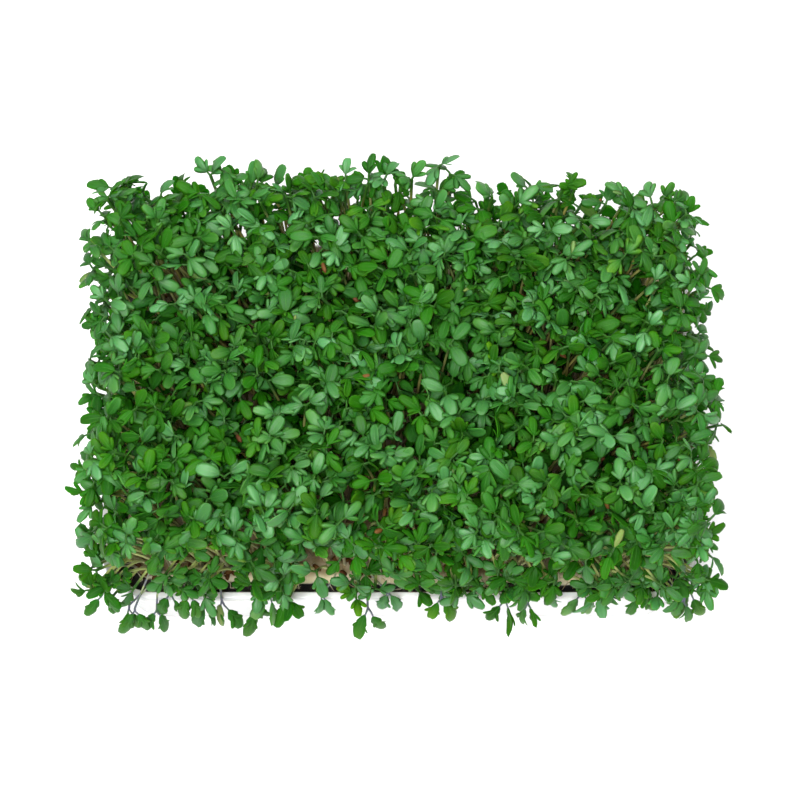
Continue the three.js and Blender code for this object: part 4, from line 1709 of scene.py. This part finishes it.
@dataclass(frozen=True)
class Compost:
    """The damp filling of the tray, and the crumbs that lie on it along the walls, nearly black as painted shade
    in the gap round the mat.
    """

    crumbs: int = 900
    kinds: int = 3
    lumpy: Span = (0.65, 1.2)
    sizes: Span = (0.35, 1.15)
    top: float = 24.2 * MM
    sunk: float = 0.35
    under_mat: Span = (69 * MM, 42 * MM)
    mat_back: float = 1 * MM
    walls: Span = (75.2 * MM, 47.7 * MM)
    walls_back: float = 0.2 * MM
    corner: float = 11.6 * MM
    clear: float = 0.6 * MM
    seed: int = 5

    def crumb_shapes(self) -> list[bpy.types.Mesh]:
        """Lumps, each a ball of 20 faces pushed out of shape."""
        rng = Random(self.seed)
        made = []
        for i in range(self.kinds):
            bm = bmesh.new()
            bmesh.ops.create_icosphere(bm, subdivisions=1, radius=1.0)
            for v in bm.verts:
                v.co *= rng.uniform(*self.lumpy)
            made.append(shell(bm, f"crumb_{i}", smooth=False))
        return made

    def open_at(self, x: float, y: float) -> bool:
        """Whether a place lies inside the walls and outside the mat."""
        if abs(x) < self.under_mat[0] and abs(y - self.mat_back) < self.under_mat[1]:
            return False
        over_x = max(0.0, abs(x) - self.walls[0] + self.corner)
        over_y = max(0.0, abs(y) - self.walls[1] + self.corner)
        return math.hypot(over_x, over_y) <= self.corner - self.clear

    def build(self) -> Piece:
        """Dresses the filling and strews the crumbs round the mat."""
        dress(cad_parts["compost"], CompostFinish().material())
        rng = Random(self.seed)
        skeleton = Skeleton()
        while len(skeleton.points) < self.crumbs:
            x = rng.uniform(-self.walls[0], self.walls[0])
            y = self.walls_back + rng.uniform(-self.walls[1], self.walls[1])
            if self.open_at(x, y):
                radius = rng.uniform(*self.sizes) ** 1.5 * MM
                way = Vector((rng.uniform(-1, 1), rng.uniform(-1, 1), rng.uniform(-1, 1)))
                size = Vector((radius, radius * rng.uniform(0.7, 1), radius * rng.uniform(0.6, 0.9)))
                at = Vector((x, y, self.top + self.sunk * radius))
                skeleton.spot(at, way, Vector((0.1, 0.2, 1)), size, rng.randrange(self.kinds))
        shapes = shelf("crumb_shapes", self.crumb_shapes())
        piece = grown("compost_crumbs", skeleton.mesh("crumb_places"), scatter_tree("compost_scatter"),
                      Shapes=shapes, Finish=CompostFinish("compost_crumb").material())
        return declared(piece, "compost")


def dress(node: Piece, finish: Material) -> None:
    """Gives one of the model's own nodes a finish.

    Args:
        node: the node.
        finish: the finish.
    """
    node.data.materials.clear()
    node.data.materials.append(finish)


def scatter_tree(name: str) -> bpy.types.NodeTree:
    """Builds the tree that sets shapes on a skeleton's points.

    Args:
        name: the tree's name.

    Returns:
        The tree, with the inputs Shapes and Finish.
    """
    t = Tree(name)
    shapes = t.given("Shapes", "Collection")
    finish = t.given("Finish", "Material")
    whole = t.node("GeometryNodeRealizeInstances", Geometry=t.set_out(t.entry.outputs["Geometry"], shapes))[0]
    return t.close(t.node("GeometryNodeSetMaterial", Geometry=whole, Material=finish)[0])


def fibre_tree() -> bpy.types.NodeTree:
    """Builds the tree that turns a skeleton's lines into fibres.

    Returns:
        The tree, with the inputs Sides and Finish.
    """
    t = Tree("mat_fibres")
    sides = t.given("Sides", "Int")
    finish = t.given("Finish", "Material")
    tubes = t.tubes(t.entry.outputs["Geometry"], sides)
    smooth = t.node("GeometryNodeSetShadeSmooth", Geometry=tubes)[0]
    whole = t.node("GeometryNodeRealizeInstances", Geometry=smooth)[0]
    return t.close(t.node("GeometryNodeSetMaterial", Geometry=whole, Material=finish)[0])


@dataclass(frozen=True)
class GrowingMat:
    """The felted mat with its torn edge, and the loose fibres on it."""

    half_x: float = 71.3 * MM
    half_y: float = 43.8 * MM
    set_back: float = 1 * MM
    ahead: float = 2.3 * MM
    corner: float = 6 * MM
    bottom: float = 24.55 * MM
    top: float = 27.7 * MM
    cells: int = 110
    bands: int = 66
    edge_power: int = 24
    tear: float = 0.9 * MM
    tears: Span = (420, 130)
    roughness: float = 0.75 * MM
    lumps: Span = (700, 190)
    broad_lumps: float = 0.7
    worn_edge: float = 0.5 * MM
    raised_edge: float = 0.2 * MM
    taper: float = 0.006
    fibres: int = 1100
    fibre_radius: float = 0.11 * MM
    fibre_steps: int = 5
    fibre_step: Span = (0.7 * MM, 1.5 * MM)
    fibre_girths: Span = (0.6, 1.5)
    fibre_tip: float = 0.4
    fibre_start: Span = (-1.2 * MM, 0.5 * MM)
    fibres_before: float = 0.62
    room_x: float = 73.6 * MM
    room_y: Span = (-46.4 * MM, 46.6 * MM)
    ground: float = 24.6 * MM
    seed: int = 23

    def on_mat(self, u: float, v: float) -> Vector:
        """A place on the mat, from shares of its half width and half depth, drawn in at the corners."""
        x, y = u * self.half_x, v * self.half_y
        over_x = max(0.0, abs(x) - self.half_x + self.corner)
        over_y = max(0.0, abs(y) - self.half_y + self.corner)
        over = math.hypot(over_x, over_y)
        if over_x > 0 and over_y > 0:
            most = max(over_x, over_y)
            x -= math.copysign(over_x * (1 - most / over), x)
            y -= math.copysign(over_y * (1 - most / over), y)
        return Vector((x, y, 0))

    def shift(self, u: float, v: float) -> float:
        """How far back a place on the mat is moved: the front edge comes forward, least at the left."""
        leftwards = ((1 - u) / 2) ** 6
        return self.set_back - self.ahead * max(0.0, -v) ** 12 * (1 - 0.9 * leftwards)

    def build(self) -> list[Piece]:
        """Builds the fleece and its fibres."""
        return [self._fleece(), self._fibres()]

    def _fleece(self) -> Piece:
        """The mat itself: an uneven upper face, torn sides and a flat underside."""
        bm = bmesh.new()
        upper, lower = [], []
        for j in range(self.bands + 1):
            above, below = [], []
            for i in range(self.cells + 1):
                u, v = 2 * i / self.cells - 1, 2 * j / self.bands - 1
                at = self.on_mat(u, v)
                edge = max(abs(u), abs(v)) ** self.edge_power
                fine, broad = (noise.noise(at * scale) for scale in self.tears)
                at += at.normalized() * ((fine + broad) * self.tear * edge)
                at.y += self.shift(u, v)
                fine, broad = (noise.noise(at * self.lumps[0]), noise.noise(at * self.lumps[1] + UP))
                height = self.roughness * (fine + self.broad_lumps * broad)
                above.append(bm.verts.new((at.x, at.y, self.top + height - self.worn_edge * edge)))
                shrink, foot = 1 - self.taper * edge, self.bottom + self.raised_edge * edge
                below.append(bm.verts.new((at.x * shrink, at.y * shrink, foot)))
            upper.append(above)
            lower.append(below)
        net(bm, upper)
        net(bm, lower)
        girdle(bm, self._rim(upper), self._rim(lower))
        mesh = shell(bm, "mat_fleece")
        mesh.materials.append(FleeceFinish().material())
        return declared(placed("mat_fleece", mesh), "growing_mat", "growing_mat")

    def _rim(self, rows: list[Corners]) -> Corners:
        """The corners round the edge of a sheet."""
        right, left = [row[-1] for row in rows[1:]], [row[0] for row in rows[-2:0:-1]]
        return rows[0] + right + rows[-1][-2::-1] + left

    def _fibres(self) -> Piece:
        """Loose fibres over the mat and sticking out of its torn edge."""
        rng = Random(self.seed)
        skeleton = Skeleton()
        for k in range(self.fibres):
            points = self._fibre(rng, at_edge=k % 2 == 1)
            radius = self.fibre_radius * rng.uniform(*self.fibre_girths)
            radii = [radius] * self.fibre_steps + [self.fibre_tip * radius]
            skeleton.line(points, radii, [0.0] * len(points), tone=rng.random())
        piece = grown("mat_fibres", skeleton.mesh("fibre_lines"), fibre_tree(), Sides=4,
                      Finish=FibreFinish().material())
        return declared(piece, "growing_mat")

    def _fibre(self, rng: Random, at_edge: bool) -> list[Vector]:
        """The points of one crooked fibre.

        Args:
            rng: the random draws.
            at_edge: whether it starts at the mat's edge.

        Returns:
            The points, kept inside the tray and over the compost.
        """
        u, v = rng.uniform(-1, 1), rng.uniform(-1, 1)
        if at_edge and rng.random() < self.fibres_before:
            v = math.copysign(rng.uniform(0.95, 1), v)
        elif at_edge:
            u = math.copysign(rng.uniform(0.97, 1), u)
        start = Vector((0, self.shift(u, v), self.top + rng.uniform(*self.fibre_start)))
        points = [self.on_mat(u, v) + start]
        angle = rng.uniform(0, TURN)
        way = Vector((math.cos(angle), math.sin(angle), rng.uniform(-0.1, 0.35)))
        for _ in range(self.fibre_steps):
            way += Vector((rng.uniform(-0.5, 0.5), rng.uniform(-0.5, 0.5), rng.uniform(-0.45, 0.25)))
            points.append(points[-1] + way.normalized() * rng.uniform(*self.fibre_step))
        for p in points:
            p.x = within(p.x, -self.room_x, self.room_x)
            p.y = within(p.y, *self.room_y)
            p.z = max(self.ground, p.z)
        return points


@dataclass(frozen=True)
class SeedHusks:
    """Split seed skins: some still sit on the seedlings, the rest lie on the mat."""

    length: float = 2.9 * MM
    forms: tuple[Span, ...] = ((0.52, 0.30), (0.40, 0.24))
    rows: tuple[float, ...] = (0.0, 0.18, 0.5, 0.82, 1.0)
    lanes: int = 5
    lip: float = 0.015
    hollow: float = 0.82
    in_canopy: int = 72
    aside: float = 4 * MM
    below: float = 8 * MM
    on_mat: int = 230
    front_share: float = 0.6
    half_x: float = 69 * MM
    front: Span = (-43.5 * MM, -36 * MM)
    anywhere: Span = (-42 * MM, 43 * MM)
    seed: int = 77

    def half_skin(self, name: str, width: float, depth: float) -> bpy.types.Mesh:
        """Half a seed's skin, one unit long, with a few dozen faces.

        Args:
            name: its name.
            width: how wide it is.
            depth: how deep it is.

        Returns:
            The mesh: a bowl with an inner and an outer face.
        """
        bm = bmesh.new()
        last = self.lanes - 1
        sheets = []
        for scale in (1.0, self.hollow):
            sheet = []
            for t in self.rows:
                half = width / 2 * math.sqrt(max(0.0, 1 - (2 * t - 1) ** 2)) + self.lip
                tall = depth * half / (width / 2)
                row = []
                for k in range(self.lanes):
                    angle = math.pi * k / last
                    at = (t - 0.5, scale * half * math.cos(angle), scale * tall * math.sin(angle))
                    row.append(bm.verts.new(at))
                sheet.append(row)
            net(bm, sheet)
            sheets.append(sheet)
        outer, inner = sheets
        for a in range(len(self.rows) - 1):
            for k in (0, last):
                bm.faces.new((outer[a][k], outer[a + 1][k], inner[a + 1][k], inner[a][k]))
        for end in (0, -1):
            for k in range(last):
                bm.faces.new((outer[end][k], outer[end][k + 1], inner[end][k + 1], inner[end][k]))
        return shell(bm, name)

    def build(self, bed: Bed) -> Piece:
        """Sets the husks and returns the piece."""
        rng = Random(self.seed)
        skeleton = Skeleton()
        tops = [s.top for tuft in bed.planned() for s in tuft if s.habit is Habit.UPRIGHT]
        for top in rng.sample(tops, self.in_canopy):
            x, y = rng.uniform(-self.aside, self.aside), rng.uniform(-self.aside, self.aside)
            self._set(skeleton, rng, top + Vector((x, y, rng.uniform(-self.below, 0))))
        for _ in range(self.on_mat):
            zone = self.front if rng.random() < self.front_share else self.anywhere
            x = rng.uniform(-self.half_x, self.half_x)
            self._set(skeleton, rng, Vector((x, rng.uniform(*zone), bed.mat_top + 0.5 * MM)))
        shapes = [self.half_skin(f"husk_{i}", *form) for i, form in enumerate(self.forms)]
        piece = grown("seed_husks", skeleton.mesh("husk_places"), scatter_tree("husk_scatter"),
                      Shapes=shelf("husk_shapes", shapes), Finish=HuskFinish().material())
        return declared(piece, "cress")

    def _set(self, skeleton: Skeleton, rng: Random, at: Vector) -> None:
        """Sets one husk, turned at random."""
        way = Vector((rng.uniform(-1, 1), rng.uniform(-1, 1), rng.uniform(-0.6, 0.6)))
        up = Vector((rng.uniform(-0.8, 0.8), rng.uniform(-0.8, 0.8), 1))
        size = self.length * rng.uniform(0.8, 1.15)
        kind = rng.randrange(len(self.forms))
        skeleton.spot(at, way, up, Vector((size, size, size)), kind, tone=rng.random())


@dataclass(frozen=True)
class Lamp:
    """One square soft light: its side, its power in watts and how strongly glossy surfaces mirror it."""

    name: str
    at: Point
    size: float
    power: float
    sheen: float

    def hang(self, target: Vector) -> None:
        """Hangs the light, facing a point."""
        light = bpy.data.lights.new(self.name, "AREA")
        light.size = self.size
        light.energy = self.power
        light.specular_factor = self.sheen
        lamp = bpy.data.objects.new(self.name, light)
        lamp.location = self.at
        lamp.rotation_euler = (target - Vector(self.at)).to_track_quat("-Z", "Y").to_euler()
        bpy.context.scene.collection.objects.link(lamp)


@dataclass(frozen=True)
class Studio:
    """A plain white floor, soft light from above, and the camera where the picture was taken from."""

    floor: float = 2.4
    world: float = 0.20
    lamps: tuple[Lamp, ...] = (
        Lamp("key_light", at=(-0.16, -0.42, 1.0), size=0.5, power=15.0, sheen=0.35),
        Lamp("sheen_light", at=(0.04, 0.42, 1.0), size=0.45, power=9.0, sheen=1.0))
    target: Vector = field(default_factory=lambda: Vector((0, 1.3, 40)) * MM)
    distance: float = 650 * MM
    elevation: float = math.radians(70)
    lens: float = 111.2
    sensor: float = 36.0
    nearest: float = 0.01
    furthest: float = 20

    def build(self) -> None:
        """Lays the floor, hangs the lights and stands the camera."""
        self._lay_floor()
        self._light_sky()
        for lamp in self.lamps:
            lamp.hang(self.target)
        self._stand_camera()

    def _lay_floor(self) -> None:
        """Lays the floor under the tray."""
        half = self.floor / 2
        corners = [(-half, -half, 0), (half, -half, 0), (half, half, 0), (-half, half, 0)]
        mesh = bpy.data.meshes.new("studio_floor")
        mesh.from_pydata(corners, [], [(0, 1, 2, 3)])
        mesh.materials.append(FloorFinish().material())
        floor = placed("studio_floor", mesh)

    def _light_sky(self) -> None:
        """Fills the room with even white light."""
        world = bpy.data.worlds.new("studio")
        world.use_nodes = True
        sky = world.node_tree.nodes["Background"]
        sky.inputs["Color"].default_value = (1, 1, 1, 1)
        sky.inputs["Strength"].default_value = self.world
        bpy.context.scene.world = world

    def _stand_camera(self) -> None:
        """Stands the camera in front of the tray, looking steeply down."""
        camera = bpy.data.cameras.new("camera")
        camera.lens = self.lens
        camera.sensor_width = self.sensor
        camera.clip_start = self.nearest
        camera.clip_end = self.furthest
        back = Vector((0, -math.cos(self.elevation), math.sin(self.elevation)))
        holder = bpy.data.objects.new("camera", camera)
        holder.location = self.target + back * self.distance
        holder.rotation_euler = (-back).to_track_quat("-Z", "Y").to_euler()
        bpy.context.scene.collection.objects.link(holder)
        bpy.context.scene.camera = holder


def main() -> None:
    """Builds the tray from the bottom up, then the room round it."""
    logging.basicConfig(level=logging.INFO, format="%(name)s %(message)s")
    Tray().build()
    Compost().build()
    GrowingMat().build()
    canopy = Canopy()
    canopy.build()
    SeedHusks().build(canopy.bed)
    Studio().build()
    bpy.context.scene.view_settings.view_transform = "Standard"


if __name__ == "__main__":
    main()
